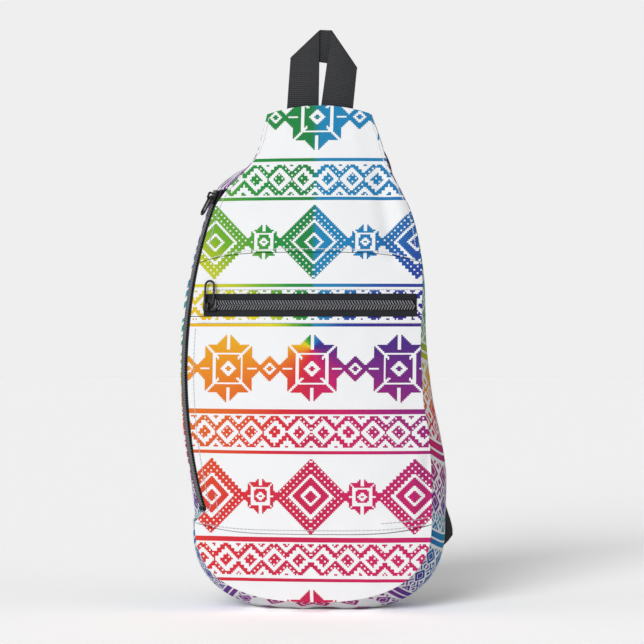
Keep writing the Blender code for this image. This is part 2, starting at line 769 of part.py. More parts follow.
def pull(name, length, place, parent):
    """Pull of bent wire: a long loop along X, whose near end passes under the bail at the place."""
    work = ring_tube(stadium(length - PULL_WIRE, PULL_WIDTH - PULL_WIRE, 7), 0.5 * PULL_WIRE, 6)
    return object_of(name, "black_metal", work, Matrix.Translation(SHIFT) @ place, parent)


def bail_inside():
    """Height of the pull's wire in the bail above the band's middle."""
    return 0.5 * CHAIN_THICK + GAP + SLIDER_PLATE + GAP + 0.5 * PULL_WIRE


def side_zip():
    start, end = side_zip_angle(SIDE_ZIP_TOP - ZIP_END), side_zip_angle(SIDE_ZIP_BOTTOM + ZIP_END)
    zip_parts("main_zip", ("front", "back"), SIDE_ZIP, start, end, 24)
    angle = start + (0.5 * SLIDER_LENGTH + SLIDER_STOP) / SIDE_ZIP_RADIUS
    axle = pivot("main_slider_axis", SIDE_ZIP.centre + SHIFT, SIDE_ZIP.axis)
    seat = SIDE_ZIP.frame(angle)
    slider("main_zip_slider", seat, Matrix.Identity(4), axle)
    place = seat @ Matrix.Translation((0.0, 0.0, bail_inside()))
    hinge = pivot("main_pull_axis", place.translation + SHIFT, place.to_3x3() @ Vector((0, 1, 0)))
    hinge.parent = axle
    hinge.matrix_parent_inverse = axle.matrix_world.inverted()
    down = Matrix.Rotation(MAIN_PULL_LEAN, 4, "Y") @ Matrix.Rotation(math.pi, 4, "Z")
    pull("main_zip_pull", MAIN_PULL_LENGTH, place @ down, hinge)


def pocket_zip_band():
    z = POCKET_ZIP_Z
    left, right = front_left(z), front_right(z)
    half, bulge = 0.5 * (right - left), smooth_value(FRONT_BULGE, z)
    radius = (half * half + bulge * bulge) / (2 * bulge)
    centre = Vector((0.5 * (left + right), front_y(z) - bulge + radius, z))
    # across the band is upwards, so the turn is a right angle less the front's lean
    return Band(centre, (0, 0, -1), (0, -1, 0), radius - POCKET_ZIP_SINK, -math.atan(FRONT_LEAN))


def pocket_zip():
    band = pocket_zip_band()
    start = -math.asin((POCKET_ZIP_LEFT - band.centre.x) / band.radius)
    end = -math.asin((POCKET_ZIP_RIGHT - band.centre.x) / band.radius)
    zip_parts("pocket_zip", ("lower", "upper"), band, start, end, 20)
    angle = start - (0.5 * SLIDER_LENGTH + SLIDER_STOP) / band.radius
    axle = pivot("pocket_slider_axis", band.centre + SHIFT, Vector((0, 0, 1)))
    seat = band.frame(angle)
    quarter = Matrix.Rotation(0.5 * math.pi, 4, "Z")
    slider("pocket_zip_slider", seat, Matrix.Translation((0, -POCKET_BAIL_DROP, 0)) @ quarter, axle)
    # the wire loop stands up and leans back on the header panel
    low = POCKET_BAIL_DROP + BAIL_REACH - BAIL_WIRE - GAP - 0.5 * PULL_WIRE
    place = seat @ Matrix.Translation((0.0, -low, bail_inside()))
    along = place.to_3x3() @ Vector((1, 0, 0))
    hinge = pivot("pocket_pull_axis", place.translation + SHIFT, along)
    hinge.parent = axle
    hinge.matrix_parent_inverse = axle.matrix_world.inverted()
    pull("pocket_zip_pull", POCKET_PULL_LENGTH, place @ quarter, hinge)


def ribbon(name, finish, lines, thickness):
    """A strip of webbing through lines across it, given as pairs of edge points."""
    points = [Vector(p) + SHIFT for line in lines for p in line]
    faces = [(2 * k, 2 * k + 1, 2 * k + 3, 2 * k + 2) for k in range(len(lines) - 1)]
    made = mesh_of(name, points, faces)
    item = add_object(name, finish, made)
    solid = item.modifiers.new("thickness", "SOLIDIFY")
    solid.thickness = thickness
    solid.offset = 0.0
    solid.use_even_offset = True
    return item


def folded_leg(inner_x, lean, side):
    """Lines across a leg of the handle and round its fold; side is -1 for the left leg."""
    up = Vector((math.sin(lean), 0, math.cos(lean)))
    level = Vector((math.cos(lean), 0, -math.sin(lean)))
    y = front_y(SIDE_TOP) + WALL + GAP + 0.5 * WEBBING
    inner_foot = Vector((inner_x, y, SIDE_TOP - HANDLE_TUCK))
    outer_foot = inner_foot + level * side * WEBBING_WIDTH
    half_turn = math.pi * FOLD_RADIUS
    top = HANDLE_TOP - half_turn * math.sqrt(0.5)
    high = inner_foot + up * ((top - inner_foot.z) / up.z)
    low = outer_foot + up * ((top - WEBBING_WIDTH - outer_foot.z) / up.z)
    fold = (high - low).normalized()
    across = Vector((side * fold.z, 0, -side * fold.x))
    lines = [(outer_foot, inner_foot)]
    for k in range(FOLD_STEPS + 1):
        turn = math.pi * k / FOLD_STEPS
        past = FOLD_RADIUS * turn
        line = []
        for foot in (outer_foot, inner_foot):
            flat = foot + up * ((past + (low - foot).dot(across)) / up.dot(across))
            back = Vector((0, FOLD_RADIUS * (1 - math.cos(turn)), 0))
            line.append(flat - across * (past - FOLD_RADIUS * math.sin(turn)) + back)
        lines.append(tuple(line))
    return lines


def top_handle():
    """Both legs stand in front and the crosspiece lies behind them, between two diagonal folds."""
    left = folded_leg(HANDLE_LEFT + WEBBING_WIDTH, 0.0, -1)
    right = folded_leg(HANDLE_SPLIT, HANDLE_LEAN, 1)
    ribbon("top_handle", "black_webbing", left + right[::-1], WEBBING)


def loft(name, finish, rings):
    """A closed solid through rings of the same number of points."""
    count = len(rings[0])
    faces = []
    for j in range(len(rings) - 1):
        for i in range(count):
            k = (i + 1) % count
            faces.append((j * count + i, j * count + k, (j + 1) * count + k, (j + 1) * count + i))
    faces.append(tuple(range(count))[::-1])
    faces.append(tuple((len(rings) - 1) * count + i for i in range(count)))
    made = mesh_of(name, [p + SHIFT for ring in rings for p in ring], faces)
    outward(made)
    return add_object(name, finish, made)


def pad_section(z):
    """Middle, width direction, half width and thickness of the strap's pad at a height."""
    low, high = STRAP_X[0][0], STRAP_X[-1][0]
    x = smooth_value(STRAP_X, z)
    step = 0.002
    slope = (smooth_value(STRAP_X, min(z + step, high)) - smooth_value(STRAP_X, max(z - step, low)))
    slope /= min(z + step, high) - max(z - step, low)
    slope *= ease((high - z) / 0.05)
    across = Vector((1, 0, -slope)).normalized()
    near_low, near_high = ease((z - low) / PAD_TAPER), ease((high - z) / PAD_TAPER)
    half_width = 0.5 * blend(PAD_END_WIDTH, PAD_WIDTH, math.sqrt(near_low))
    thick = blend(PAD_END_THICK, PAD_THICK, min(near_low, near_high))
    inside = max(back_surface(x + s * half_width, z) for s in (-1, 0, 1)) + smooth_value(STRAP_GAP, z)
    return Vector((x, inside + 0.5 * thick, z)), across, half_width, thick


def strap_pad():
    rings = []
    for j in range(PAD_ROWS + 1):
        z = blend(STRAP_X[0][0], STRAP_X[-1][0], j / PAD_ROWS)
        middle, across, half_width, thick = pad_section(z)
        edge = half_width - 0.5 * thick
        ring = []
        for b, m in ((-edge, -0.5), (edge, -0.5), (half_width, -0.15), (half_width, 0.15),
                     (edge, 0.5), (-edge, 0.5), (-half_width, 0.15), (-half_width, -0.15)):
            ring.append(middle + across * b + Vector((0, m * thick, 0)))
        rings.append(ring)
    loft("strap_pad", "black_mesh", rings)


def run_start():
    """Where the strap's straight webbing leaves the pad."""
    middle, _, _, thick = pad_section(STRAP_X[0][0])
    return middle + Vector((0, 0.5 * thick + PAD_SEWN + 0.5 * WEBBING, 0))


def strap_frame():
    """Frame of the straight webbing: X across it, Y away from the bag and Z up along it."""
    end = Vector(STRAP_END)
    up = (run_start() - end).normalized()
    across = Vector((0, 1, 0)).cross(up).normalized()
    away = up.cross(across)
    turned = Matrix((across, away, up)).transposed().to_4x4()
    return Matrix.Translation(end) @ turned


def wrap(middle_y, middle_z, radius, start, steps=6):
    """Half a turn round a bar, in the strap's Y and Z, clockwise seen along X."""
    turn = [start - math.pi * k / steps for k in range(steps + 1)]
    return [(middle_y + radius * math.cos(t), middle_z + radius * math.sin(t)) for t in turn]


def strip_lines(path, frame, half_width):
    """Lines across a strip whose middle follows (y, z) places of a frame."""
    return [[frame @ Vector((s * half_width, y, z)) for s in (-1, 1)] for y, z in path]


def strap_webbing():
    """Sewn along the pad's outside, then straight down, round the ring's upper bar and up again."""
    frame = strap_frame()
    half = 0.5 * STRAP_WEBBING
    lines = []
    for j in range(PAD_ROWS):
        middle, across, _, thick = pad_section(blend(STRAP_X[-1][0], STRAP_X[0][0], j / PAD_ROWS))
        middle.y += 0.5 * thick + PAD_SEWN + 0.5 * WEBBING
        lines.append([middle - across * half, middle + across * half])
    bar = -(0.5 * WEBBING + GAP + 0.5 * RING_WIRE)
    length = (run_start() - Vector(STRAP_END)).length
    path = [(0.0, length), (0.0, 0.5 * length)]
    path += wrap(bar, 0.0, -bar, 0.0)
    path.append((2 * bar, RETURN_START))
    ribbon("strap_webbing", "black_webbing", lines + strip_lines(path, frame, half), WEBBING)


def strap_return(frame):
    """From the ring up to the adjuster's middle bar and over it."""
    outer = -2 * (0.5 * WEBBING + GAP + 0.5 * RING_WIRE)
    inner = -(WEBBING + GAP)
    turn_z = ADJUSTER_REST + 0.5 * ADJUSTER_BAR
    middle, radius = 0.5 * (inner + outer), 0.5 * (inner - outer)
    path = [(outer, RETURN_START + GAP), (outer, 0.5 * ADJUSTER_REST)]
    path += [(y, z) for y, z in wrap(middle, turn_z, radius, math.pi)]
    path.append((inner, ADJUSTER_REST - 0.008))
    ribbon("strap_return", "black_webbing", strip_lines(path, frame, 0.5 * STRAP_WEBBING), WEBBING)


def strap_adjuster(frame):
    half_in = 0.5 * STRAP_WEBBING + RING_PLAY
    half_out = half_in + ADJUSTER_RAIL
    half_long, half_bar = 0.5 * ADJUSTER_LENGTH, 0.5 * ADJUSTER_BAR
    front = 0.5 * WEBBING + GAP
    back = -(1.5 * WEBBING + 3 * GAP)
    xs = (-half_out, -half_in, half_in, half_out)
    ys = (back - ADJUSTER_PLATE, back, front, front + ADJUSTER_PLATE)
    zs = (-half_long, -half_long + ADJUSTER_BAR, -half_bar, half_bar, half_long - ADJUSTER_BAR, half_long)
    filled = {(i, j, k) for i in (0, 2) for j in range(3) for k in range(5)}
    filled |= {(1, 2, 0), (1, 2, 4), (1, 0, 2)}
    place = Matrix.Translation(SHIFT) @ frame @ Matrix.Translation((0, 0, ADJUSTER_REST))
    body = object_of("strap_adjuster", "black_plastic", cells(xs, ys, zs, filled), place)
    soften = body.modifiers.new("soften", "BEVEL")
    soften.width = 0.0004
    soften.segments = 1
    soften.limit_method = "ANGLE"


def cells(xs, ys, zs, filled):
    """The filled cells of a grid as one closed bmesh."""
    work = bmesh.new()
    corners = {}

    def corner(place):
        if place not in corners:
            i, j, k = place
            corners[place] = work.verts.new((xs[i], ys[j], zs[k]))
        return corners[place]

    sides = (
        ((-1, 0, 0), ((0, 0, 0), (0, 0, 1), (0, 1, 1), (0, 1, 0))),
        ((1, 0, 0), ((1, 0, 0), (1, 1, 0), (1, 1, 1), (1, 0, 1))),
        ((0, -1, 0), ((0, 0, 0), (1, 0, 0), (1, 0, 1), (0, 0, 1))),
        ((0, 1, 0), ((0, 1, 0), (0, 1, 1), (1, 1, 1), (1, 1, 0))),
        ((0, 0, -1), ((0, 0, 0), (0, 1, 0), (1, 1, 0), (1, 0, 0))),
        ((0, 0, 1), ((0, 0, 1), (1, 0, 1), (1, 1, 1), (0, 1, 1))),
    )
    for cell in sorted(filled):
        for step, ring in sides:
            if tuple(a + b for a, b in zip(cell, step)) not in filled:
                work.faces.new([corner(tuple(a + b for a, b in zip(cell, at))) for at in ring])
    return work


def rounded_loop(width, height, corner, steps=4):
    """Points of a rectangle with round corners in X and Z, its upper side at Z 0."""
    found = []
    for k, (sx, sz) in enumerate(((1, 1), (-1, 1), (-1, -1), (1, -1))):
        middle = (sx * (0.5 * width - corner), -0.5 * height + sz * (0.5 * height - corner))
        for i in range(steps + 1):
            angle = 0.5 * math.pi * (k + i / steps)
            found.append((middle[0] + corner * math.cos(angle), 0.0, middle[1] + corner * math.sin(angle)))
    return found


def strap_ring(frame):
    bar = -(0.5 * WEBBING + GAP + 0.5 * RING_WIRE)
    width = STRAP_WEBBING + 2 * RING_PLAY + RING_WIRE
    work = ring_tube(rounded_loop(width, RING_LENGTH, RING_CORNER), 0.5 * RING_WIRE, 8)
    place = Matrix.Translation(SHIFT) @ frame @ Matrix.Translation((0, bar, 0))
    object_of("strap_ring", "black_metal", work, place)


def wing_point(share, z):
    """Outside of the corner patch at a share of its width."""
    x = blend(WING_LEFT, smooth_value(WING_EDGE, z), share)
    return Vector((x, back_surface(x, z) + GAP + WING_THICK, z))


def strap_wing():
    columns, rows = 6, 8
    points = []
    for j in range(rows + 1):
        z = blend(WING_EDGE[0][0], WING_EDGE[-1][0], j / rows)
        points += [wing_point(i / columns, z) for i in range(columns + 1)]
    shell("strap_wing", "black_webbing", points, columns, rows, WING_THICK, flip=True)


def strap_ring_loop(frame):
    """Round the ring's lower bar, with both ends sewn on the corner patch."""
    bar = -(0.5 * WEBBING + GAP + 0.5 * RING_WIRE)
    half = 0.5 * STRAP_WEBBING
    stations = 4
    inner, outer = [], []
    for k in range(1, stations + 1):
        t = k / stations
        ends = strip_lines([(0.0, -RING_LENGTH - LOOP_LENGTH * t)], frame, half)[0]
        rest_y = max(back_surface(p.x, p.z) for p in ends) + 2 * GAP + WING_THICK + 0.5 * WEBBING
        for found, start, layer in ((inner, 2 * bar, 0), (outer, 0.0, 1)):
            line = []
            for p in ends:
                hung_y = p.y + start
                line.append(Vector((p.x, blend(hung_y, rest_y + layer * (WEBBING + GAP), ease(t)), p.z)))
            found.append(line)
    turn = strip_lines(wrap(bar, -RING_LENGTH, -bar, math.pi), frame, half)
    ribbon("strap_ring_loop", "black_webbing", inner[::-1] + turn + outer, WEBBING)


def strap():
    strap_pad()
    strap_webbing()
    frame = strap_frame()
    strap_return(frame)
    strap_adjuster(frame)
    strap_ring(frame)
    strap_ring_loop(frame)
    strap_wing()


def main():
    clear_scene()
    front_panels()
    right_gusset()
    left_gusset()
    bottom_gusset()
    top_gusset()
    back_panel()
    side_zip()
    pocket_zip()
    top_handle()
    strap()


main()
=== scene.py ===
"""Printed sling bag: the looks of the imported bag, laid out as an add-on and run as a script."""
import json
import math

import bmesh
import bpy
from mathutils import Matrix, Vector, noise
from mathutils.bvhtree import BVHTree


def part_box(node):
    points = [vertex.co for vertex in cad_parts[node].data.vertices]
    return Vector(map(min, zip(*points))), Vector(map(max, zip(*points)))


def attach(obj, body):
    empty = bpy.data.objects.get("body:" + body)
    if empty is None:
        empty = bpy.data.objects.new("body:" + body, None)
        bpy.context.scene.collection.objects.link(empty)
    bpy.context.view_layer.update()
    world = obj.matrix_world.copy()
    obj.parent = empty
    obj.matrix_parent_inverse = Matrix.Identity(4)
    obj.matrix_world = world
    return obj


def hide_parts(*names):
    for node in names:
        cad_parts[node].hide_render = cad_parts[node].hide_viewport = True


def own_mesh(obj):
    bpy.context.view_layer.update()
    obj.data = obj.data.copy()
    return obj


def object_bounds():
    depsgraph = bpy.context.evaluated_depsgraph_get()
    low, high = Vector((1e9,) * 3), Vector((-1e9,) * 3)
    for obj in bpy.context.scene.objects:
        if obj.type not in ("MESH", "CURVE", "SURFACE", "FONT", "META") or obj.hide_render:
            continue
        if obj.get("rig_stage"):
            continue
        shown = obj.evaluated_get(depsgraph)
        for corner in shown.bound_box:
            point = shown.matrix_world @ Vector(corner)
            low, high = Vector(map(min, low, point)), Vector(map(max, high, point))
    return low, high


bl_info = {
    "name": "Printed Sling Bag",
    "version": (1, 0, 0),
    "blender": (4, 5, 0),
    "location": "View3D > Sidebar > Sling Bag",
    "description": "Dresses the sling bag with cloth, zips, webbing, stitching and its studio",
    "category": "Object",
}

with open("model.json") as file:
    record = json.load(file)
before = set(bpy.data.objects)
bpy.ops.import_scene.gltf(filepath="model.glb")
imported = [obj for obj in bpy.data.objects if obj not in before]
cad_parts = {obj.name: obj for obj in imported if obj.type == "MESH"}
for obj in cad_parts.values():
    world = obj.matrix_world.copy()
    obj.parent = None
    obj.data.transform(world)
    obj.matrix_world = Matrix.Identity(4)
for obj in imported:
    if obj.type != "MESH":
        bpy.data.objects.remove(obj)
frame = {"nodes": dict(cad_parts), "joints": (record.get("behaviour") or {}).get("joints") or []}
CAD_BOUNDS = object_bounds()
JOINTS = {joint["name"]: joint for joint in frame["joints"]}

# The bag's middle as the camera sees it, and the height that the print's colours turn round
MIDDLE = Vector((0.0034, 0.0020, 0.0))
PRINT_HEIGHT = 0.199
STAGE_GREY = (0.862, 0.862, 0.862)


# Hand modelling helpers

def deselect():
    """Leaves edit mode and deselects everything."""
    if bpy.context.object and bpy.context.object.mode != "OBJECT":
        bpy.ops.object.mode_set(mode="OBJECT")
    bpy.ops.object.select_all(action="DESELECT")


def pick(piece):
    """Makes a piece the only one selected, and active."""
    deselect()
    piece.select_set(True)
    bpy.context.view_layer.objects.active = piece


def edit(piece, elements="EDGE", action="DESELECT"):
    """Opens a piece in edit mode with nothing selected, or everything."""
    pick(piece)
    bpy.ops.object.mode_set(mode="EDIT")
    bpy.ops.mesh.select_mode(type=elements)
    bpy.ops.mesh.select_all(action=action)


def close_edit():
    bpy.ops.object.mode_set(mode="OBJECT")


def edit_faces(piece, wanted):
    """Opens a piece in edit mode with the faces selected whose normals pass a test."""
    edit(piece, "FACE")
    close_edit()
    for face in piece.data.polygons:
        face.select = wanted(face.normal)
    bpy.ops.object.mode_set(mode="EDIT")


def add_object(name, data):
    item = bpy.data.objects.new(name, data)
    bpy.context.scene.collection.objects.link(item)
    return item


def modify(piece, kind, **settings):
    """Adds a modifier to a piece and applies it."""
    pick(piece)
    modifier = piece.modifiers.new(kind.title(), kind)
    for key, value in settings.items():
        setattr(modifier, key, value)
    bpy.ops.object.modifier_apply(modifier=modifier.name)


def subdivide(piece, levels):
    modify(piece, "SUBSURF", levels=levels, render_levels=levels)


def smooth(piece, angle=40.0):
    pick(piece)
    bpy.ops.object.shade_smooth_by_angle(angle=math.radians(angle))


def from_node(node, name):
    """A piece that starts as a merged copy of a node's mesh, in quads."""
    piece = add_object(name, frame["nodes"][node].data.copy())
    piece.data.name = name
    piece.data.materials.clear()
    if piece.data.has_custom_normals:
        pick(piece)
        bpy.ops.mesh.customdata_custom_splitnormals_clear()
    edit(piece, action="SELECT")
    bpy.ops.mesh.mark_sharp(clear=True)
    bpy.ops.mesh.remove_doubles(threshold=1e-5)
    bpy.ops.mesh.tris_convert_to_quads(
        face_threshold=math.radians(40), shape_threshold=math.radians(70))
    close_edit()
    return piece


def round_edges(piece, offset, segments=2, sharpness=50.0):
    """Bevels the sharp edges of a piece."""
    edit(piece)
    bpy.ops.mesh.edges_select_sharp(sharpness=math.radians(sharpness))
    bpy.ops.mesh.bevel(
        offset=offset, segments=segments, profile=0.5, affect="EDGES", clamp_overlap=True)
    close_edit()


def shape(piece, move):
    """Moves each vertex of a piece by what move(place, normal) gives."""
    mesh = piece.data
    normals = [v.normal.copy() for v in mesh.vertices]
    for vertex, normal in zip(mesh.vertices, normals):
        vertex.co += move(vertex.co, normal)
    mesh.update()


def copies(name, original, places):
    """One piece of many copies of a small mesh, which is then removed."""
    work = bmesh.new()
    for place in places:
        start = len(work.verts)
        work.from_mesh(original.data)
        work.verts.ensure_lookup_table()
        bmesh.ops.transform(work, matrix=place, verts=work.verts[start:])
    mesh = bpy.data.meshes.new(name)
    work.to_mesh(mesh)
    work.free()
    piece = add_object(name, mesh)
    bpy.data.objects.remove(original)
    return piece


def place_on(piece, body, slot, finish, *nodes):
    """Gives a piece its finish and body, and lets it stand for CAD nodes."""
    piece.data.materials.clear()
    piece.data.materials.append(finish)
    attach(piece, body)
    if nodes:
        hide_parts(*nodes)
    return piece


def stiff_piece(node, name, slot, finish, offset, segments=2, sharpness=50.0, angle=40.0,
                body="bag", move=None):
    """A piece made from its node, which it stands for, with softened edges."""
    piece = from_node(node, name)
    round_edges(piece, offset, segments, sharpness)
    if move:
        shape(piece, move)
    smooth(piece, angle)
    return place_on(piece, body, slot, FINISHES[finish], node)


def declare_cloth(piece, node):
    """Works out the box of a node's mesh, and does nothing more with it.

    It is a little longer than the node's longest side, and covers one side of the node's wall.
    """
    low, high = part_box(node)


# Materials

class Field:
    """A number that varies over a surface, worked out by Math nodes."""

    def __init__(self, tree, socket):
        self.tree = tree
        self.socket = socket

    def math(self, operation, *others):
        node = self.tree.nodes.new("ShaderNodeMath")
        node.operation = operation
        for slot, value in zip(node.inputs, (self,) + others):
            if isinstance(value, Field):
                self.tree.links.new(value.socket, slot)
            else:
                slot.default_value = value
        return Field(self.tree, node.outputs[0])

    def __add__(self, other):
        return self.math("ADD", other)

    def __sub__(self, other):
        return self.math("SUBTRACT", other)

    def __mul__(self, other):
        return self.math("MULTIPLY", other)

    def __truediv__(self, other):
        return self.math("DIVIDE", other)

    def __lt__(self, other):
        return self.math("LESS_THAN", other)

    def __gt__(self, other):
        return self.math("GREATER_THAN", other)

    def __mod__(self, other):
        return self.math("FLOORED_MODULO", other)

    def __or__(self, other):
        return self.math("MAXIMUM", other)

    def __and__(self, other):
        return self.math("MINIMUM", other)

    def abs(self):
        return self.math("ABSOLUTE")

    def floor(self):
        return self.math("FLOOR")

    def flip(self):
        """One less the field."""
        node = self.tree.nodes.new("ShaderNodeMath")
        node.operation = "SUBTRACT"
        node.inputs[0].default_value = 1.0
        self.tree.links.new(self.socket, node.inputs[1])
        return Field(self.tree, node.outputs[0])

    def between(self, low, high):
        """One where the field lies between two numbers, and nought elsewhere."""
        return (self - 0.5 * (low + high)).abs() < 0.5 * (high - low)


class Finish:
    """A material in the making: its tree, its coordinates and its shader."""

    def __init__(self, name):
        self.material = bpy.data.materials.new(name)
        self.material.use_nodes = True
        self.tree = self.material.node_tree
        self.shader = next(n for n in self.tree.nodes if n.type == "BSDF_PRINCIPLED")
        self.point = self.tree.nodes.new("ShaderNodeTexCoord").outputs["Object"]

    def link(self, source, target):
        self.tree.links.new(source.socket if isinstance(source, Field) else source, target)

    def axes(self):
        """The three coordinates of the point, as fields."""
        split = self.tree.nodes.new("ShaderNodeSeparateXYZ")
        self.link(self.point, split.inputs[0])
        return [Field(self.tree, split.outputs[i]) for i in range(3)]

    def noise(self, scale, detail=3.0, roughness=0.55):
        node = self.tree.nodes.new("ShaderNodeTexNoise")
        node.inputs["Scale"].default_value = scale
        node.inputs["Detail"].default_value = detail
        node.inputs["Roughness"].default_value = roughness
        self.link(self.point, node.inputs["Vector"])
        return Field(self.tree, node.outputs["Fac"])

    def ramp(self, field, stops):
        """Colours along a field from 0 to 1; stops are (place, web colour)."""
        node = self.tree.nodes.new("ShaderNodeValToRGB")
        elements = node.color_ramp.elements
        elements.remove(elements[-1])
        elements[0].position, elements[0].color = stops[0][0], (*plain(stops[0][1]), 1.0)
        for at, code in stops[1:]:
            elements.new(at).color = (*plain(code), 1.0)
        self.link(field, node.inputs["Fac"])
        return node.outputs["Color"]

    def fill(self, slot, value):
        """Puts a number, a colour or what comes from another node into an input."""
        if isinstance(value, (int, float)):
            slot.default_value = value
        elif isinstance(value, tuple):
            slot.default_value = (*value, 1.0)
        else:
            self.link(value, slot)

    def mix(self, share, first, second):
        """Mixes two colours, each a socket or three numbers."""
        node = self.tree.nodes.new("ShaderNodeMix")
        node.data_type = "RGBA"
        for number, value in ((0, share), (6, first), (7, second)):
            self.fill(node.inputs[number], value)
        return node.outputs[2]

    def bump(self, height, distance, strength=1.0, normal=None):
        node = self.tree.nodes.new("ShaderNodeBump")
        node.inputs["Strength"].default_value = strength
        node.inputs["Distance"].default_value = distance
        self.link(height, node.inputs["Height"])
        if normal is not None:
            self.link(normal, node.inputs["Normal"])
        return node.outputs["Normal"]

    def set(self, colour=None, normal=None, rough=None, **sockets):
        """Sets the shader: colour, normal and roughness may be linked."""
        for name, value in (("Base Color", colour), ("Normal", normal), ("Roughness", rough)):
            if value is not None:
                self.fill(self.shader.inputs[name], value)
        for name, value in sockets.items():
            label = name.replace("_", " ").title().replace("Ior", "IOR")
            self.shader.inputs[label].default_value = value
        return self.material


def plain(code):
    """Linear colour of a web colour."""
    parts = [int(code[i:i + 2], 16) / 255.0 for i in (1, 3, 5)]
    return tuple(p / 12.92 if p <= 0.04045 else ((p + 0.055) / 1.055) ** 2.4 for p in parts)


def waves(field, pitch):
    """A wave along a field, up and down once in twice the pitch."""
    return (field * (math.pi / pitch)).math("SINE")


def ribs(field, pitch):
    """Round ribs of one pitch along a field, from 0 to 1."""
    return waves(field, pitch).abs()


def thread_weave(across, along, pitch):
    """Height of a plain weave with threads of one pitch; it runs from 0 to 1."""
    return (waves(across, pitch) * waves(along, pitch)).abs()


def cloth_material(name, print_mask=None, hue=None, ground="#edeeef"):
    """White polyester canvas, with a print where one is given."""
    finish = Finish(name)
    x, y, z = finish.axes()
    ground_colour = finish.mix(finish.noise(38.0, 4.0) * 0.35, plain(ground), plain("#e2e3e6"))
    colour, normal = ground_colour, None
    weave = thread_weave(x + y, z, 0.00042)
    if print_mask is not None:
        mask, ink = print_mask(x, y, z), hue(finish, x, y, z)
        worn = finish.mix(finish.noise(900.0, 2.0) * 0.04, ink, plain("#f4f4f6"))
        colour = finish.mix(mask, ground_colour, worn)
        normal = finish.bump(mask, 0.00012, 0.5)
    normal = finish.bump(weave, 0.00010, 0.5, normal)
    normal = finish.bump(finish.noise(140.0, 3.0), 0.0006, 0.25, normal)
    return finish.set(colour, normal, 0.85, specular_ior_level=0.1)


# The print: stepped shapes on a grid of stitches, mirrored about the middle

STITCH = 0.00125  # the front's grid
SIDE_STITCH = 0.00085  # the strips' finer grid
UNIT = 0.00155  # the measure that the front's layout is given in
ROW_HEIGHT = 62.0
ROW_START = 41.0  # from the start of a row to the print's middle
STAR_PITCH = 42.0
DIAMOND_PITCH = 50.0
BASE_WAY = 0.157  # how far round the edge the base strip's colours go
INK_ROUND = (
    (0.00, "#bf0d4a"), (0.07, "#d01f2c"), (0.125, "#d64b18"), (0.20, "#df7a10"),
    (0.27, "#e2a60a"), (0.33, "#d6cc0c"), (0.385, "#6aa81a"), (0.44, "#178a35"),
    (0.497, "#067a3a"), (0.503, "#047faf"), (0.57, "#0876ae"), (0.64, "#153f9a"),
    (0.69, "#2c1f85"), (0.75, "#4a1a7c"), (0.82, "#7b1178"), (0.88, "#a80a69"),
    (0.94, "#c50a5a"), (1.00, "#bf0d4a"),
)
INK_ALONG = (
    (0.00, "#1079b8"), (0.12, "#0c9a94"), (0.24, "#1c9a40"), (0.34, "#b0b818"),
    (0.44, "#e48f14"), (0.52, "#da3c28"), (0.60, "#cb1464"), (0.76, "#862488"),
    (0.88, "#353094"), (1.00, "#1079b8"),
)


def print_cells(across, height, stitch):
    """Places on the stitch grid, as half numbers of stitches; across is mirrored."""
    side = ((across / stitch).floor() + 0.5).abs()
    rise = (height / stitch).floor() + 0.5
    return side, rise


def from_middle(field, pitch):
    """Distance from the middle of a cell, in a row of cells of one pitch."""
    return (field % pitch - 0.5 * pitch).abs()


def star(a, b, size):
    """An eight-pointed star at two distances from its centre, with rings and spokes let out."""
    square, turned = a | b, a + b
    whole = (square < size * 0.76) | (turned < size * 1.12)
    ring = (square - size * 0.46).abs() < 0.55
    eye = turned.between(size * 0.12, size * 0.26)
    spokes = ((a - b).abs() < 0.55) & (turned > size * 0.6)
    notch = ((a & b) < 0.5) & (turned > size * 0.62)
    return whole & (ring | eye | spokes | notch).flip()


def lattice(side, rise):
    """Single gaps on a turned grid, as between crossed stitches."""
    return ((side + rise) % 4.0 < 0.9) & ((side - rise + 3.0) % 4.0 < 0.9)


def front_mask(x, y, z):
    """Where the front's print has ink: two kinds of rows by turns, and zigzag bands between."""
    stitch_side, stitch_rise = print_cells(x - MIDDLE.x, z - PRINT_HEIGHT, STITCH)
    closed = lattice(stitch_side, stitch_rise).flip()
    side, rise = stitch_side * (STITCH / UNIT), stitch_rise * (STITCH / UNIT)
    kind = (rise + ROW_START) % (2.0 * ROW_HEIGHT)
    up = from_middle(rise + ROW_START, ROW_HEIGHT)

    # eight-pointed stars with small nested diamonds between them
    across = from_middle(side, STAR_PITCH)
    small = across + up
    stars = star((across - 0.5 * STAR_PITCH).abs(), up, 15.5)
    stars = stars | small.between(3.0, 6.4) | (small < 1.6)

    # large nested diamonds with small stars between them
    across = from_middle(side, DIAMOND_PITCH)
    reach = (across - 0.5 * DIAMOND_PITCH).abs() + up
    rings = (reach < 3.4) | reach.between(5.2, 9.4) | (reach.between(11.4, 18.6) & closed)
    rings = rings | star(across, up, 8.5)

    # the bands: a line and a zigzag on both sides of their middle
    edge = (up - 0.5 * ROW_HEIGHT).abs()
    zigzag = (edge + from_middle(side, 12.0)) % 6.0 < 3.4
    bands = (zigzag & closed & (edge < 7.6)) | edge.between(8.8, 10.8)
    return (stars & (kind < ROW_HEIGHT)) | (rings & (kind > ROW_HEIGHT)) | bands


def turning_hue(finish, x, y, z):
    """Ink colour that turns round the print's middle, with the darker violet on the right."""
    across, rise = x - MIDDLE.x, z - PRINT_HEIGHT
    return finish.ramp(across.math("ARCTAN2", rise) / (2 * math.pi) + 0.5, INK_ROUND)


def round_the_edge(x, z):
    """Distance round the bag's edge from the middle of its base, roughly."""
    return z + (x - MIDDLE.x).abs() * 0.9


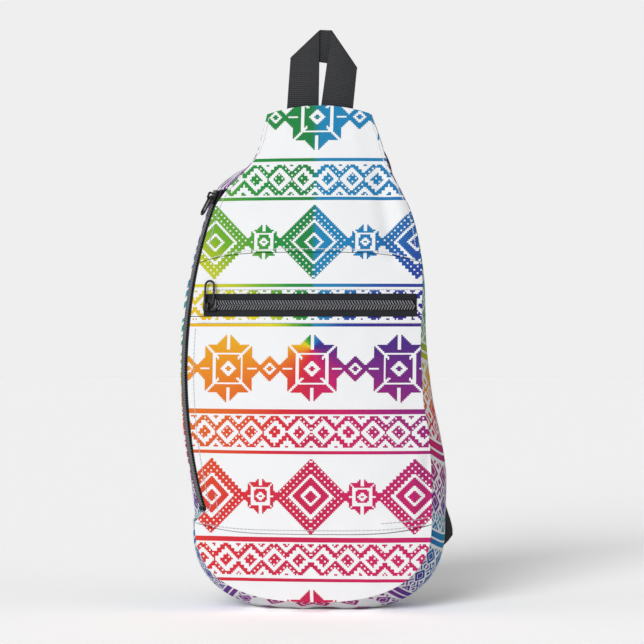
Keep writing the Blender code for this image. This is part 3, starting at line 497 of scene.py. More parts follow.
def side_mask(x, y, z):
    """Where the finer print of the strips between front and back has ink."""
    side, rise = print_cells(y + 0.037, round_the_edge(x, z), SIDE_STITCH)
    a, b = from_middle(side + 11.0, 22.0), from_middle(rise, 26.0)
    small = (a + b < 3.4) | (a + b).between(4.6, 8.2)
    reach = (a - 11.0).abs() + b
    nested = (reach < 4.4) | reach.between(5.8, 9.6)
    zigzag = (a + from_middle(rise, 13.0)) % 6.0 < 3.2
    corners = (reach > 11.4) & zigzag
    step = rise % 78.0
    bands = (step < 5.0) | step.between(7.0, 12.6)
    filled = (nested | corners) & step.between(14.6, 75.0)
    return (small & (rise < 60.0)) | ((filled | bands) & (rise > 60.0))


def banded_hue(finish, x, y, z):
    """Ink colour from magenta to blue along the base strip, and back and on up the side strips."""
    way = round_the_edge(x, z)
    base = way * 2.6 + 0.60
    side = (way - BASE_WAY) * -4.75 + 0.80
    run = base + (side - base) * (way > BASE_WAY) + (y + 0.04) * 2.4
    return finish.ramp((run + 2.0) % 1.0, INK_ALONG)


def tape_material():
    """Woven zip tape: fine herringbone lines across the chain."""
    finish = Finish("zip_tape_weave")
    x, y, z = finish.axes()
    slant = ribs(x + y + from_middle(z, 0.0016) * 0.9, 0.0006)
    cross = ribs(z, 0.0007)
    colour = finish.mix(slant * 0.45, plain("#191a1d"), plain("#36373c"))
    normal = finish.bump(slant + cross * 0.5, 0.00012, 0.6)
    return finish.set(colour, normal, 0.78, specular_ior_level=0.15)


def webbing_material(name, along, across, dark="#030304", pale="#2a2b2f"):
    """Black webbing: ribs across it, and lengthwise lines; both runs are given by a function."""
    finish = Finish(name)
    x, y, z = finish.axes()
    run, width = along(x, y, z), across(x, y, z)
    fine = thread_weave(run, width, 0.00055)
    height = ribs(run, 0.00155) * 0.6 + (ribs(width, 0.0019) > 0.3) * 0.3 + fine * 0.15
    # painted highlight and shade: the tops of the ribs are painted paler and their grooves darker,
    # by the same height as the bump
    colour = finish.mix(height * height, plain(dark), plain(pale))
    colour = finish.mix(finish.noise(60.0) * 0.2, colour, plain(pale))
    return finish.set(colour, finish.bump(height, 0.00035, 0.8), 0.6, specular_ior_level=0.3)


def mesh_cloth_material():
    """Black spacer mesh: round holes in staggered rows."""
    finish = Finish("black_air_mesh")
    x, y, z = finish.axes()
    pitch = 0.0030
    column = x / pitch
    row = z / (pitch * 0.58)
    shift = (row.floor() % 2.0) * 0.5
    a, b = from_middle(column + shift, 1.0), from_middle(row, 1.0)
    hole = (a * a + b * b * 0.34) < 0.036
    knit = thread_weave(x, z, 0.0006)
    cloth = finish.mix(knit * 0.6, plain("#2c2d31"), plain("#55565c"))
    # painted shade: the holes are painted near black for the shade inside them
    colour = finish.mix(hole, cloth, plain("#08080a"))
    normal = finish.bump(hole.flip() + knit * 0.2, 0.0005, 0.7)
    return finish.set(colour, normal, 0.85, sheen_weight=0.15, sheen_roughness=0.5)


def binding_material():
    """Grosgrain binding: fine ribs."""
    finish = Finish("black_binding")
    x, y, z = finish.axes()
    grain = ribs(x + y * 0.8 + z, 0.0007)
    colour = finish.mix(grain * 0.7, plain("#101113"), plain("#34353a"))
    return finish.set(colour, finish.bump(grain, 0.0002, 0.6), 0.7,
                      sheen_weight=0.1, sheen_roughness=0.5)


def coil_material():
    """Nylon coil: black and a little glossy, paler here and there at random; its pale crowns are
    painted highlights, grey strokes laid on the coil.
    """
    finish = Finish("zip_coil_nylon")
    colour = finish.mix(finish.noise(700.0, 2.0) * 0.45, plain("#060607"), plain("#1a1b1e"))
    return finish.set(colour, finish.bump(finish.noise(1500.0, 2.0), 0.00005, 0.3), 0.45,
                      specular_ior_level=0.18)


def enamel_material():
    """Black enamelled metal, a little uneven, with rubbed spots."""
    finish = Finish("black_enamel")
    rubbed = finish.noise(420.0, 3.0)
    colour = finish.mix(rubbed.math("POWER", 3.0), plain("#050506"), plain("#1d1e21"))
    rough = finish.noise(160.0, 3.0) * 0.15 + 0.24
    return finish.set(colour, finish.bump(finish.noise(900.0, 2.0), 0.00004, 0.3), rough,
                      coat_weight=0.1, specular_ior_level=0.25)


def moulded_material():
    """Black moulded nylon with a fine grain."""
    finish = Finish("black_moulded_nylon")
    grain = finish.noise(2200.0, 3.0)
    colour = finish.mix(finish.noise(120.0) * 0.5, plain("#101113"), plain("#1d1e21"))
    return finish.set(colour, finish.bump(grain, 0.00006, 0.5), 0.48)


def thread_material(name, code):
    """Twisted sewing thread."""
    finish = Finish(name)
    x, y, z = finish.axes()
    twist = ribs(x + y + z * 1.4, 0.00045)
    colour = finish.mix(twist * 0.5, plain(code), tuple(0.7 * c for c in plain(code)))
    return finish.set(colour, finish.bump(twist, 0.0001, 0.5), 0.55)


HANDLE_GAP = 0.0037  # x between the handle's two legs


def make_finishes():
    """Every finish of the bag, by name."""
    lean_sine, lean_cosine = math.sin(math.radians(8)), math.cos(math.radians(8))
    strap_up = -Vector(JOINTS["strap_adjust"]["axis"])

    def leaning(x):
        """One on the handle's right leg, which leans."""
        return x > HANDLE_GAP

    finishes = {
        "print": cloth_material("printed_canvas", front_mask, turning_hue),
        "side": cloth_material("printed_gusset_canvas", side_mask, banded_hue),
        "lining": cloth_material("plain_lining", ground="#b9babd"),
        "tape": tape_material(),
        "handle": webbing_material(
            "handle_webbing",
            lambda x, y, z: z - leaning(x) * (x * lean_sine + z * (1 - lean_cosine)),
            lambda x, y, z: x + leaning(x) * (z * lean_sine - x * (1 - lean_cosine)),
        ),
        "webbing": webbing_material(
            "strap_webbing_weave",
            lambda x, y, z: x * strap_up.x + y * strap_up.y + z * strap_up.z,
            lambda x, y, z: x * strap_up.z - z * strap_up.x,
            "#0a0b0c", "#44454a",
        ),
        "mesh": mesh_cloth_material(),
        "binding": binding_material(),
        "coil": coil_material(),
        "enamel": enamel_material(),
        "plastic": moulded_material(),
    }
    # the coil's grey is painted highlight, laid on the coil as strokes for the glints on its
    # crowns; the other three are sewing thread
    for thread, code in (("white_thread", "#e4e4e6"), ("grey_thread", "#c3c3c7"),
                         ("coil_glint_grey", "#8e8e93"), ("back_thread", "#6c6d73")):
        finishes[thread] = thread_material(thread, code)
    return finishes


FINISHES = make_finishes()


# Soft shapes: folds and puckers that all the cloth pieces share

def ridge(place, start, end, width):
    """A smooth hump along a line between two places in the front's plane (x, z)."""
    line = (end[0] - start[0], end[1] - start[1])
    length = math.hypot(*line)
    dx, dz = place.x - start[0], place.z - start[1]
    along = (dx * line[0] + dz * line[1]) / length
    across = (dx * line[1] - dz * line[0]) / length
    past = max(0.0, -along, along - length)
    return math.exp(-((across / width) ** 2) - (past / (1.6 * width)) ** 2)


# Each fold: start, end (x, z), width and height
FRONT_FOLDS = (
    ((0.052, 0.324), (0.062, 0.276), 0.0065, -0.0032),
    ((0.063, 0.326), (0.074, 0.284), 0.0060, 0.0026),
    ((-0.030, 0.372), (-0.036, 0.330), 0.0060, -0.0009),
    ((0.030, 0.375), (0.038, 0.335), 0.0060, 0.0009),
    ((-0.060, 0.330), (-0.045, 0.290), 0.0080, 0.0010),
    ((0.0905, 0.112), (0.0890, 0.076), 0.0040, -0.0016),
    ((0.0840, 0.125), (0.0800, 0.080), 0.0060, 0.0009),
    ((-0.080, 0.118), (-0.070, 0.072), 0.0050, -0.0014),
    ((-0.050, 0.205), (0.020, 0.200), 0.0080, -0.0007),
    ((-0.055, 0.060), (-0.040, 0.025), 0.0070, 0.0010),
    ((0.055, 0.058), (0.048, 0.022), 0.0070, 0.0010),
)
# Heights of the seams across the front, and how far their puckers reach
PUCKER_SEAMS = ((0.222, 0.010), (0.241, 0.009), (0.268, 0.009), (0.0625, 0.011))
PUCKER_HEIGHT = 0.00062
DENT_SCALE, DENT_HEIGHT = 26.0, 0.0011
SEAM_SWELL = 0.0001  # how far each panel's cloth fills the gap at its seams


def front_relief(place):
    """How far the front's cloth stands out at a place."""
    height = sum(ridge(place, a, b, width) * tall for a, b, width, tall in FRONT_FOLDS)
    height += 0.0013 * noise.noise(Vector((place.x * 16.0, 3.1, place.z * 12.0)))
    height += 0.0010 * noise.noise(Vector((place.x * 42.0, 7.7, place.z * 34.0)))
    for seam, reach in PUCKER_SEAMS:
        near = math.exp(-(((place.z - seam) / reach) ** 2))
        wave = noise.noise(Vector((place.x * 105.0, 9.0, seam * 40.0)))
        height += PUCKER_HEIGHT * near * wave
    return height


def edge_calm(place):
    """Keeps the relief small at the base, where the bag stands."""
    return min(1.0, max(0.0, (place.z - 0.004) / 0.02))


def soften_front(piece):
    shape(piece, lambda place, normal: Vector((0.0, -front_relief(place) * edge_calm(place), 0.0)))


def soften_side(piece):
    """Soft dents in a strip between front and back, along its normals."""
    def move(place, normal):
        across, rise, side = place.y * DENT_SCALE, place.z * DENT_SCALE, place.x * DENT_SCALE
        wave = noise.noise(Vector((across, rise * 0.6, side * 0.4)))
        return normal * (wave * DENT_HEIGHT * edge_calm(place))
    shape(piece, move)


def sewn_panel(node, name, finish, levels=2, front=True):
    """A cloth panel made from its node: rolled edges, a finer mesh and soft folds."""
    piece = from_node(node, name)
    round_edges(piece, 0.0003)
    modify(piece, "DISPLACE", strength=SEAM_SWELL, mid_level=0.0)
    subdivide(piece, levels)
    if front:
        soften_front(piece)
    else:
        soften_side(piece)
    smooth(piece, 50.0)
    return place_on(piece, "bag", "printed_fabric" if front else "gusset_fabric", finish, node)


class SlingBagSizes(bpy.types.PropertyGroup):
    """Sizes that a user of the bag would change."""

    panel_levels: bpy.props.IntProperty(
        name="Panel detail", description="Subdivision levels of the cloth panels",
        default=2, min=1, max=3)
    stitch_pitch: bpy.props.FloatProperty(
        name="Stitch pitch", description="From one topstitch to the next",
        default=0.0030, min=0.002, max=0.006, subtype="DISTANCE", unit="LENGTH")
    tooth_pitch: bpy.props.FloatProperty(
        name="Coil pitch", description="From one turn of a zip's coil to the next",
        default=0.0022, min=0.001, max=0.003, subtype="DISTANCE", unit="LENGTH")
    camera_distance: bpy.props.FloatProperty(
        name="Camera distance", description="From the camera to the bag's middle",
        default=2.2, min=1.0, max=5.0, subtype="DISTANCE", unit="LENGTH")


class SlingBagColours(bpy.types.PropertyGroup):
    """Colours that a user of the bag would change."""

    floor: bpy.props.FloatVectorProperty(
        name="Floor", description="Colour of the studio's floor and backdrop",
        subtype="COLOR", size=3, default=STAGE_GREY, min=0.0, max=1.0)


class SLINGBAG_OT_front(bpy.types.Operator):
    """Sews the printed front: upper panel, header, pocket and base"""
    bl_idname = "slingbag.front"
    bl_label = "Printed front"

    def execute(self, context):
        levels = context.scene.sling_bag_sizes.panel_levels
        for node in ("front_panel_upper", "pocket_header_panel",
                     "front_pocket_panel", "front_base_panel"):
            piece = sewn_panel(node, node + "_cloth", FINISHES["print"], levels + 1)
            declare_cloth(piece, node)
        wall = stiff_piece(
            "pocket_back_wall", "pocket_back_wall_lining", "gusset_fabric", "lining", 0.0005)
        declare_cloth(wall, "pocket_back_wall")
        return {"FINISHED"}


class SLINGBAG_OT_gussets(bpy.types.Operator):
    """Sews the four strips between front and back"""
    bl_idname = "slingbag.gussets"
    bl_label = "Gussets"

    def execute(self, context):
        levels = context.scene.sling_bag_sizes.panel_levels
        for node in ("left_gusset", "right_gusset", "bottom_gusset", "top_gusset"):
            piece = sewn_panel(node, node + "_cloth", FINISHES["side"], levels, front=False)
            declare_cloth(piece, node)
        return {"FINISHED"}


# Zips

class Band:
    """A zip's strip: a place on it is an angle, a distance across it and a height out of it."""

    def __init__(self, joint, axis, zero, radius, turn):
        self.centre = Vector(JOINTS[joint]["pos_m"])
        self.axis = Vector(axis).normalized()
        self.zero = Vector(zero)
        self.radius = radius
        self.turn = turn

    def out(self, angle):
        return self.zero * math.cos(angle) + self.axis.cross(self.zero) * math.sin(angle)

    def frame(self, angle, across=0.0, height=0.0):
        """Matrix whose X runs back along the zip, Y across the strip and Z out of it."""
        along = self.out(angle).cross(self.axis)
        outward = self.out(angle) * math.cos(self.turn) + self.axis * math.sin(self.turn)
        side = outward.cross(along)
        radial = self.radius + across * math.sin(self.turn) + height * math.cos(self.turn)
        axial = -across * math.cos(self.turn) + height * math.sin(self.turn)
        place = self.centre + self.out(angle) * radial + self.axis * axial
        return Matrix.Translation(place) @ Matrix((along, side, outward)).transposed().to_4x4()


SIDE_AXIS = JOINTS["main_zip_slide"]["axis"]
FRONT_LEAN = math.atan2(SIDE_AXIS[2], -SIDE_AXIS[1])
SIDE_ZIP = Band("main_zip_slide", SIDE_AXIS, (-1, 0, 0), 0.3870, math.radians(27))
SIDE_ZIP_ENDS = (-0.3549, 0.2919)
POCKET_ZIP = Band("pocket_zip_slide", (0, 0, -1), (0, -1, 0), 0.23889, -FRONT_LEAN)
POCKET_ZIP_ENDS = (0.3348, -0.3615)
TOOTH_INSIDE, TOOTH_OUTSIDE = 0.00042, 0.00335
CORE_TOP = -0.0006


def rod(radius, length, turn):
    """A six-sided rod, turned down about an axis."""
    deselect()
    bpy.ops.mesh.primitive_cylinder_add(
        vertices=6, radius=radius, depth=length, end_fill_type="NGON")
    piece = bpy.context.object
    edit(piece, "FACE", "SELECT")
    bpy.ops.transform.rotate(value=0.5 * math.pi, orient_axis=turn, center_override=(0, 0, 0))
    close_edit()
    return piece


def coil_turn():
    """One turn of a zip's coil, lying along Y: an upright flat loop with stepped ends."""
    turn = rod(0.00046, TOOTH_OUTSIDE - TOOTH_INSIDE, "X")
    edit(turn, "FACE", "SELECT")
    bpy.ops.transform.resize(value=(1.0, 1.0, 1.9))
    edit_faces(turn, lambda normal: abs(normal.y) > 0.9)
    bpy.ops.mesh.inset(thickness=0.00018, depth=0.00022)
    close_edit()
    smooth(turn, 60)
    return turn


def stitch(radius=0.00016, length=0.0021):
    """One stitch: a short thread along X, which the inset of all its faces swells by its depth."""
    thread = rod(radius, length, "Y")
    edit(thread, "FACE", "SELECT")
    bpy.ops.mesh.inset(thickness=0.0001, depth=0.00016)
    close_edit()
    smooth(thread, 60)
    return thread


def zip_half(prefix, side_name, side, band, ends, pitch):
    """One half of a zip: its coil on a core, and its woven tape."""
    count = int(abs(ends[1] - ends[0]) * band.radius / pitch)

    def turns(start, spare, across, height, degrees):
        """A place for each turn of the coil; the two halves are half a turn apart."""
        turned = Matrix.Rotation(math.radians(degrees), 4, "Z")
        first = start if side > 0 else start + 0.5
        for k in range(count):
            angle = ends[0] + (ends[1] - ends[0]) * (k + first) / (count + spare)
            yield band.frame(angle, side * across, height) @ turned

    middle = 0.5 * (TOOTH_INSIDE + TOOTH_OUTSIDE)
    teeth = copies(
        f"{prefix}_teeth_{side_name}", coil_turn(), turns(0.5, 0.5, middle, 0.0001, 9 * side))
    # painted highlight: pale grey strokes across each turn stand in for the glints on the coil's
    # crowns
    threads = copies(
        f"{prefix}_coil_stitches_{side_name}", stitch(0.00023, 0.0036),
        turns(0.75, 1.5, 0.00185, 0.00098, 90 + 30 * side))
    for piece, finish in ((teeth, "coil"), (threads, "coil_glint_grey")):
        smooth(piece, 60)
        place_on(piece, "bag", "zip_coil", FINISHES[finish])

    coil = f"{prefix}_coil_{side_name}"
    core = from_node(coil, coil + "_core")

    def lower(place, normal):
        """Brings what stands above the core's top down to it."""
        radial = place - band.centre
        axial = radial.dot(band.axis)
        flat = radial - band.axis * axial
        height = (flat.length - band.radius) * math.cos(band.turn) + axial * math.sin(band.turn)
        if height < CORE_TOP:
            return Vector()
        out = flat.normalized() * math.cos(band.turn) + band.axis * math.sin(band.turn)
        return out * (CORE_TOP - height)

    shape(core, lower)
    place_on(core, "bag", "zip_coil", FINISHES["tape"], coil)

    tape = f"{prefix}_tape_{side_name}"
    declare_cloth(stiff_piece(tape, tape + "_woven", "zip_tape", "tape", 0.00018, 1), tape)


def slider_and_pull(prefix):
    """The slider with softened edges, and its pull as round wire."""
    stiff_piece(prefix + "_zip_slider", prefix + "_slider_cast", "black_metal", "enamel",
                0.00028, 2, 40, body=prefix + "_slider")
    pull = from_node(prefix + "_zip_pull", prefix + "_pull_wire")
    modify(pull, "DISPLACE", strength=0.0002, mid_level=0.0)
    subdivide(pull, 2)
    smooth(pull, 80)
    place_on(pull, prefix + "_pull", "black_metal", FINISHES["enamel"], prefix + "_zip_pull")


class SLINGBAG_OT_zips(bpy.types.Operator):
    """Makes both zips: coils of single turns, woven tapes, sliders and pulls"""
    bl_idname = "slingbag.zips"
    bl_label = "Zips"

    def execute(self, context):
        pitch = context.scene.sling_bag_sizes.tooth_pitch
        for name, sides, band, ends in (
                ("main_zip", ("front", "back"), SIDE_ZIP, SIDE_ZIP_ENDS),
                ("pocket_zip", ("upper", "lower"), POCKET_ZIP, POCKET_ZIP_ENDS)):
            for side_name, side in zip(sides, (1, -1)):
                zip_half(name, side_name, side, band, ends, pitch)
        slider_and_pull("main")
        slider_and_pull("pocket")
        return {"FINISHED"}


# Handle, back and strap

def edge_binding(source, name, limit, thick):
    """Binding over the sideways faces of a padded piece."""
    edit_faces(source, lambda normal: abs(normal.y) < limit)
    bpy.ops.mesh.duplicate()
    bpy.ops.mesh.separate(type="SELECTED")
    close_edit()
    binding = next(o for o in bpy.context.selected_objects if o is not source)
    binding.name = binding.data.name = name
    binding.data.materials.clear()
    for key in [k for k in binding.keys() if k.startswith("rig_")]:
        del binding[key]
    binding.parent = None
    modify(binding, "SOLIDIFY", thickness=thick, offset=1.0, use_even_offset=True)
    round_edges(binding, 0.3 * thick, 1)
    smooth(binding)
    return binding


class SLINGBAG_OT_handle(bpy.types.Operator):
    """Makes the folded webbing handle"""
    bl_idname = "slingbag.handle"
    bl_label = "Handle"

    def execute(self, context):
        handle = from_node("top_handle", "top_handle_webbing")
        round_edges(handle, 0.0004, 2, 60)
        smooth(handle, 40)

        def settle_corners(place, normal):
            """Draws the handle in, and lowers the corners of its folded top."""
            out = (place.x - 0.0068) / 0.029
            high = min(1.0, max(0.0, (place.z - 0.396) / 0.018))
            lean = min(1.0, max(0.0, (place.z - 0.374) / 0.036))
            inward = (0.0006 - 0.0028 * out) * lean
            return Vector((inward, 0.0, -0.0042 * high * high * math.copysign(out * out, out)))

        shape(handle, settle_corners)
        place_on(handle, "bag", "black_webbing", FINISHES["handle"], "top_handle")
        return {"FINISHED"}


SWELL_FRAMES = 20
SWELL_PRESSURE = 4.0


def swell(piece, held, cap):
    """Blows a pad up with a cloth simulation; held places stay, others move by cap at most."""
    group = piece.vertex_groups.new(name="held")
    vertices = piece.data.vertices
    group.add([v.index for v in vertices if held(v.co, v.normal)], 1.0, "REPLACE")
    pick(piece)
    cloth = piece.modifiers.new("swell", "CLOTH")
    settings = cloth.settings
    settings.use_pressure = True
    settings.uniform_pressure_force = SWELL_PRESSURE
    settings.effector_weights.gravity = 0.0
    settings.vertex_group_mass = group.name
    cloth.point_cache.frame_end = SWELL_FRAMES
    for number in range(1, SWELL_FRAMES + 1):
        bpy.context.scene.frame_set(number)
    swollen = piece.evaluated_get(bpy.context.evaluated_depsgraph_get()).data
    steps_out = [b.co - a.co for a, b in zip(vertices, swollen.vertices)]
    piece.modifiers.remove(cloth)
    bpy.context.scene.frame_set(1)
    for vertex, step in zip(vertices, steps_out):
        vertex.co += step * min(1.0, cap / max(step.length, 1e-9))
    piece.vertex_groups.clear()


# The sewn channels of the back: heights of those across, sides of the two long ones, and width
CHANNEL_HEIGHTS = (0.035, 0.115, 0.195, 0.275, 0.345)
LONG_CHANNELS = (-0.034, 0.034)
CHANNEL_WIDTH = 0.0042


def bulge(z):
    """How far the back's two long channels swing out at a height."""
    return 1.0 + 0.35 * math.sin(z * 9.0)


def channel(place):
    """One on the back's sewn channels, falling to zero beside them."""
    across = place.x - MIDDLE.x
    depth = 0.0
    if CHANNEL_HEIGHTS[0] < place.z < CHANNEL_HEIGHTS[-1]:
        for line in LONG_CHANNELS:
            depth += math.exp(-(((across - line * bulge(place.z)) / CHANNEL_WIDTH) ** 2))
    if abs(across) < LONG_CHANNELS[1] * bulge(place.z) + 0.002:
        for height in CHANNEL_HEIGHTS:
            depth += math.exp(-(((place.z - height) / CHANNEL_WIDTH) ** 2))
    return min(depth, 1.0)


class SLINGBAG_OT_back(bpy.types.Operator):
    """Makes the padded back panel with its sewn channels"""
    bl_idname = "slingbag.back"
    bl_label = "Padded back"

    def execute(self, context):
        back = from_node("back_panel", "back_panel_padded")
        round_edges(back, 0.0012, 2)
        subdivide(back, 2)
        shape(back, lambda place, normal: Vector((0.0, -0.0010 * (normal.y > 0.4), 0.0)))
        swell(back, lambda place, normal: normal.y < 0.35 or channel(place) > 0.5, 0.0030)
        subdivide(back, 1)

        def quilt(place, normal):
            deep = 0.0022 * channel(place) * (normal.y > 0.3) * edge_calm(place)
            return Vector((0.0, -deep, 0.0))

        shape(back, quilt)
        smooth(back, 60)
        place_on(back, "bag", "black_mesh", FINISHES["mesh"], "back_panel")
        return {"FINISHED"}


class SLINGBAG_OT_strap(bpy.types.Operator):
    """Makes the shoulder strap: pad, webbing, adjuster, ring, loop and corner wing"""
    bl_idname = "slingbag.strap"
    bl_label = "Shoulder strap"

    def execute(self, context):
        def lean_out(place, normal):
            """Sets the strap off the edge at the shoulder, and draws it in at its ring."""
            out = 0.0014 * math.exp(-(((place.z - 0.342) / 0.010) ** 2))
            drawn = 0.0030 * math.exp(-(((place.z - 0.086) / 0.017) ** 2))
            drawn += 0.0014 * math.exp(-(((place.z - 0.200) / 0.030) ** 2))
            return Vector((out - drawn, 0.0, 0.0))

        edge = from_node("strap_pad", "strap_pad_edge")
        subdivide(edge, 2)
        shape(edge, lean_out)
        binding = edge_binding(edge, "strap_pad_binding", 0.55, 0.0006)
        bpy.data.objects.remove(edge)
        pad = from_node("strap_pad", "strap_pad_cushion")
        subdivide(pad, 2)
        shape(pad, lean_out)
        shape(pad, lambda place, normal: normal * (-0.0006 * (abs(normal.y) > 0.5)))
        swell(pad, lambda place, normal: abs(normal.y) < 0.5, 0.0018)
        smooth(pad, 60)
        place_on(pad, "bag", "black_mesh", FINISHES["mesh"], "strap_pad")
        place_on(binding, "bag", "black_webbing", FINISHES["binding"])
        for node, name, move in (("strap_webbing", "strap_webbing_ribbed", lean_out),
                                 ("strap_ring_loop", "strap_loop_webbing", lean_out),
                                 ("strap_return", "strap_return_webbing", None)):
            back = stiff_piece(
                node, name, "black_webbing", "webbing", 0.0004, 2, 60, move=move)
        up = -Vector(JOINTS["strap_adjust"]["axis"])
        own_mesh(back)
        stiff_piece("strap_wing", "strap_wing_cloth", "black_webbing", "binding", 0.0004, angle=50)
        stiff_piece("strap_adjuster", "strap_adjuster_moulded", "black_plastic", "plastic",
                    0.0003, body="adjuster")
        ring = from_node("strap_ring", "strap_ring_wire")
        subdivide(ring, 2)
        shape(ring, lean_out)
        smooth(ring, 80)
        place_on(ring, "bag", "black_metal", FINISHES["enamel"], "strap_ring")
        return {"FINISHED"}


# Stitching

def surface_of(*names):
    """A search tree over the finished pieces with these names."""
    work = bmesh.new()
    for name in names:
        work.from_mesh(bpy.data.objects[name].data)
    tree = BVHTree.FromBMesh(work)
    work.free()
    return tree


def resample(points, pitch):
    """Places at even steps along a line of points, each with its direction."""
    found, left = [], 0.5 * pitch
    for a, b in zip(points, points[1:]):
        a, b = Vector(a), Vector(b)
        length = (b - a).length
        at = left
        while at < length:
            found.append((a.lerp(b, at / length), (b - a).normalized()))
            at += pitch
        left = at - length
    return found


RAY_START = 0.25  # how far off a stitch's place its ray starts


def stitch_row(name, tree, route, pitch, toward, finish, slot):
    """Stitches where rays from off the bag meet the surface; the route is given off the bag."""
    places = []
    toward = Vector(toward)
    for point, direction in resample(route, pitch):
        hit, normal, _, _ = tree.ray_cast(point - toward * RAY_START, toward)
        if hit is None:
            continue
        if normal.dot(toward) > 0:
            normal = -normal
        along = (direction - normal * direction.dot(normal)).normalized()
        side = normal.cross(along)
        turn = Matrix((along, side, normal)).transposed().to_4x4()
        places.append(Matrix.Translation(hit + normal * 0.00008) @ turn)
    if not places:
        raise RuntimeError(f"{name} met no surface")
    row = copies(name, stitch(), places)
    smooth(row, 60)
    return place_on(row, "bag", slot, finish)


def edge_line(names, heights, side, inset):
    """Points inside the left (-1) or right (1) edge of pieces at some heights, as (x, 0, z)."""
    corners = [v.co for name in names for v in bpy.data.objects[name].data.vertices]
    found = []
    for z in heights:
        near = [c.x for c in corners if abs(c.z - z) < 0.004]
        if near:
            edge = min(near) if side < 0 else max(near)
            found.append((edge - side * inset, 0.0, z))
    return found


def steps(low, high, count):
    return [low + (high - low) * k / count for k in range(count + 1)]


class SLINGBAG_OT_stitching(bpy.types.Operator):
    """Sews the visible topstitch rows on the front"""
    bl_idname = "slingbag.stitching"
    bl_label = "Stitching"

    def execute(self, context):
        pitch = context.scene.sling_bag_sizes.stitch_pitch
        upper, header = "front_panel_upper_cloth", "pocket_header_panel_cloth"
        pocket, base = "front_pocket_panel_cloth", "front_base_panel_cloth"
        front = surface_of(upper, header, pocket, base)
        inward = (0, 1, 0)
        white, grey = FINISHES["white_thread"], FINISHES["grey_thread"]

        def row(name, route, finish=grey):
            stitch_row(name, front, route, pitch, inward, finish, "printed_fabric")

        row("stitch_side_zip_upper", edge_line([upper], steps(0.333, 0.273, 24), -1, 0.0055))
        row("stitch_side_zip_pocket", edge_line([pocket], steps(0.214, 0.072, 40), -1, 0.0052))
        row("stitch_right_edge", edge_line([upper], steps(0.372, 0.275, 30), 1, 0.0032), white)
        row("stitch_left_shoulder", edge_line([upper], steps(0.376, 0.338, 12), -1, 0.0030), white)
        row("stitch_above_pocket_zip", [(-0.078, 0, 0.2432), (0.086, 0, 0.2432)])
        row("stitch_below_pocket_zip", [(-0.088, 0, 0.2178), (0.090, 0, 0.2178)])

        def seam_above(piece, xs, lift):
            """A line that follows the lower edge of a piece."""
            corners = [v.co for v in bpy.data.objects[piece].data.vertices]
            found = []
            for x in xs:
                near = [c.z for c in corners if abs(c.x - x) < 0.006]
                if near:
                    found.append((x, 0.0, min(near) + lift))
            return found

        row("stitch_header_seam", seam_above(upper, steps(-0.078, 0.080, 40), 0.0026), white)
        row("stitch_base_seam", seam_above(pocket, steps(-0.084, 0.090, 44), 0.0028))
        row("stitch_base_hem", seam_above(pocket, steps(0.056, 0.092, 10), 0.0075))
        row("stitch_dart", [(-0.0715, 0, 0.088), (-0.0680, 0, 0.0700)])

        rear = surface_of("back_panel_padded")

        def back_row(name, line):
            """A row on the back, over (side of the middle, height) pairs."""
            route = [(MIDDLE.x + side * bulge(z), 0.0, z) for side, z in line]
            stitch_row(name, rear, route, pitch, (0, -1, 0), FINISHES["back_thread"], "black_mesh")

        heights = steps(CHANNEL_HEIGHTS[0], CHANNEL_HEIGHTS[-1], 60)
        for k, side in enumerate(LONG_CHANNELS):
            back_row(f"stitch_back_channel_{k}", [(side, z) for z in heights])
        for k, z in enumerate(CHANNEL_HEIGHTS):
            back_row(f"stitch_back_cross_{k}", [(side, z) for side in LONG_CHANNELS])
        return {"FINISHED"}


# Studio

FLOOR_RADIUS = 9.0
FLOOR_COLOUR = 0.98  # for light that falls on the bag
FLOOR_SEEN = 1.675  # seen directly, it is brought to the backdrop's level
# painted shade on the floor in front of the bag, against the light that the bag throws there
FRONT_PAINTED_SHADE = 0.13  # less of that in front of the bag, which throws its own light there
SKY_LOW, SKY_OVERHEAD = 0.05, 0.24
# Each lamp: name, strength, angle in degrees and the way that its light travels
LAMPS = (
    ("studio_key_low", 1.74, 26, (0.260, 0.930, -0.275)),
    ("studio_key_high", 0.57, 24, (0.130, 0.840, -0.530)),
    ("studio_left", 0.55, 60, (0.930, 0.360, -0.080)),
    ("studio_right", 0.63, 60, (-0.950, 0.300, -0.080)),
)
CAMERA_TURN = math.radians(7)
CAMERA_ASIDE, CAMERA_HEIGHT = 0.0023, 0.2187
SENSOR = 36.0
FRAME_WIDTH = 0.496  # what the camera shows at the bag's middle


def seen_directly(tree):
    """One for rays from the camera, a reflection or a clear piece, nought for light on the bag."""
    path = tree.nodes.new("ShaderNodeLightPath").outputs
    camera, glossy = Field(tree, path["Is Camera Ray"]), Field(tree, path["Is Glossy Ray"])
    return camera | glossy | Field(tree, path["Is Transmission Ray"])


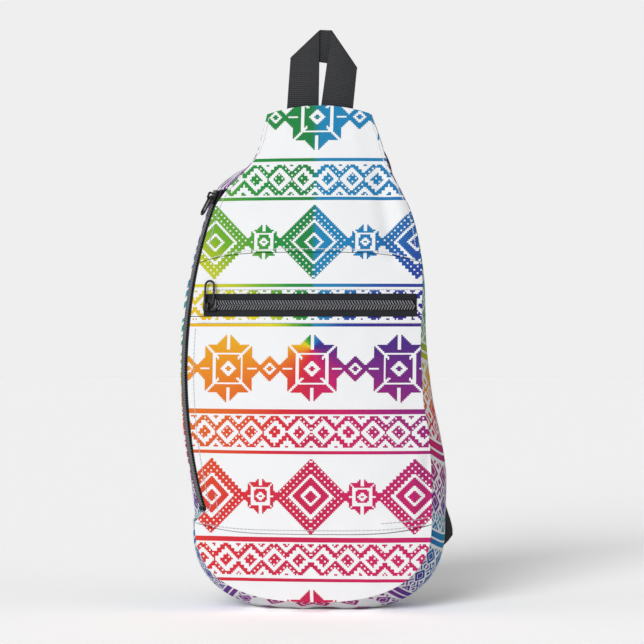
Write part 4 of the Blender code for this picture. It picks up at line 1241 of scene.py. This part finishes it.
class SLINGBAG_OT_studio(bpy.types.Operator):
    """Lays the pale floor and places the lamps, the sky and the camera"""
    bl_idname = "slingbag.studio"
    bl_label = "Studio"

    def execute(self, context):
        scene = context.scene
        deselect()
        bpy.ops.mesh.primitive_circle_add(
            vertices=96, radius=FLOOR_RADIUS, fill_type="NGON")
        floor = context.object
        floor.name = floor.data.name = "studio_floor"
        edit(floor, "FACE", "SELECT")
        bpy.ops.mesh.inset(thickness=6.0)
        close_edit()
        finish = Finish("studio_floor")
        x, y, z = finish.axes()
        # painted shade: the floor's seen colour is made darker in a soft patch in front of the
        # bag, against the light that the bag throws onto it
        away = x * x * 90.0 + (y + 0.07) * (y + 0.07) * 40.0
        front = (away * -1.0).math("EXPONENT") * FRONT_PAINTED_SHADE
        pale = finish.mix(front, (FLOOR_SEEN,) * 3, (0.0, 0.0, 0.0))
        colour = finish.mix(seen_directly(finish.tree), (FLOOR_COLOUR,) * 3, pale)
        floor.data.materials.append(finish.set(colour, None, 1.0, specular_ior_level=0.0))
        floor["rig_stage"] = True

        world = bpy.data.worlds.new("studio_sky")
        scene.world = world
        world.use_nodes = True
        tree = world.node_tree
        tree.nodes.clear()
        out = tree.nodes.new("ShaderNodeOutputWorld")
        mixer = tree.nodes.new("ShaderNodeMixShader")
        seen = tree.nodes.new("ShaderNodeBackground")
        seen.inputs["Color"].default_value = (*scene.sling_bag_colours.floor, 1.0)
        ambient = tree.nodes.new("ShaderNodeBackground")
        ambient.inputs["Color"].default_value = (1.0, 1.0, 1.0, 1.0)
        # the sky is brightest overhead, as under a wide softbox
        heading = tree.nodes.new("ShaderNodeTexCoord")
        split = tree.nodes.new("ShaderNodeSeparateXYZ")
        sky = (Field(tree, split.outputs["Z"]) | 0.0) * SKY_OVERHEAD + SKY_LOW
        for source, target in (
                (heading.outputs["Generated"], split.inputs[0]),
                (sky.socket, ambient.inputs["Strength"]),
                (seen_directly(tree).socket, mixer.inputs[0]),
                (ambient.outputs[0], mixer.inputs[1]),
                (seen.outputs[0], mixer.inputs[2]),
                (mixer.outputs[0], out.inputs[0])):
            tree.links.new(source, target)

        for name, strength, spread, shine in LAMPS:
            lamp = bpy.data.lights.new(name, "SUN")
            lamp.energy = strength
            lamp.angle = math.radians(spread)
            turn = Vector(shine).to_track_quat("-Z", "Y")
            add_object(name, lamp).rotation_euler = turn.to_euler()

        right = Vector((math.cos(CAMERA_TURN), math.sin(CAMERA_TURN), 0.0))
        back = Vector((right.y, -right.x, 0.0))
        aim = MIDDLE + right * CAMERA_ASIDE + Vector((0.0, 0.0, CAMERA_HEIGHT))
        distance = scene.sling_bag_sizes.camera_distance
        camera = bpy.data.cameras.new("photo_camera")
        camera.sensor_width = SENSOR
        camera.lens = SENSOR * distance / FRAME_WIDTH
        camera.clip_end = 50.0
        scene.camera = add_object("photo_camera", camera)
        scene.camera.location = aim + back * distance
        scene.camera.rotation_euler = (0.5 * math.pi, 0.0, CAMERA_TURN)
        scene.view_settings.view_transform = "Standard"
        return {"FINISHED"}


class SLINGBAG_PT_panel(bpy.types.Panel):
    """Lists the steps that dress the sling bag"""
    bl_label = "Sling Bag"
    bl_idname = "SLINGBAG_PT_panel"
    bl_space_type = "VIEW_3D"
    bl_region_type = "UI"
    bl_category = "Sling Bag"

    def draw(self, context):
        layout = self.layout
        sizes, colours = context.scene.sling_bag_sizes, context.scene.sling_bag_colours
        for key in ("panel_levels", "stitch_pitch", "tooth_pitch", "camera_distance"):
            layout.prop(sizes, key)
        layout.prop(colours, "floor")
        for operator in OPERATORS:
            layout.operator(operator.bl_idname)


OPERATORS = (
    SLINGBAG_OT_studio, SLINGBAG_OT_front, SLINGBAG_OT_gussets, SLINGBAG_OT_zips,
    SLINGBAG_OT_handle, SLINGBAG_OT_back, SLINGBAG_OT_strap, SLINGBAG_OT_stitching,
)
CLASSES = (SlingBagSizes, SlingBagColours, SLINGBAG_PT_panel) + OPERATORS


def register():
    for item in CLASSES:
        bpy.utils.register_class(item)
    bpy.types.Scene.sling_bag_sizes = bpy.props.PointerProperty(type=SlingBagSizes)
    bpy.types.Scene.sling_bag_colours = bpy.props.PointerProperty(type=SlingBagColours)


def unregister():
    del bpy.types.Scene.sling_bag_colours
    del bpy.types.Scene.sling_bag_sizes
    for item in reversed(CLASSES):
        bpy.utils.unregister_class(item)


def main():
    register()
    for operator in OPERATORS:
        name = operator.bl_idname.split(".")[1]
        getattr(bpy.ops.slingbag, name)()
    boxes = {"cad": CAD_BOUNDS, "visual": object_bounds()}
    lines = {key: [[float(n) for n in corner] for corner in box] for key, box in boxes.items()}


if __name__ == "__main__":
    main()
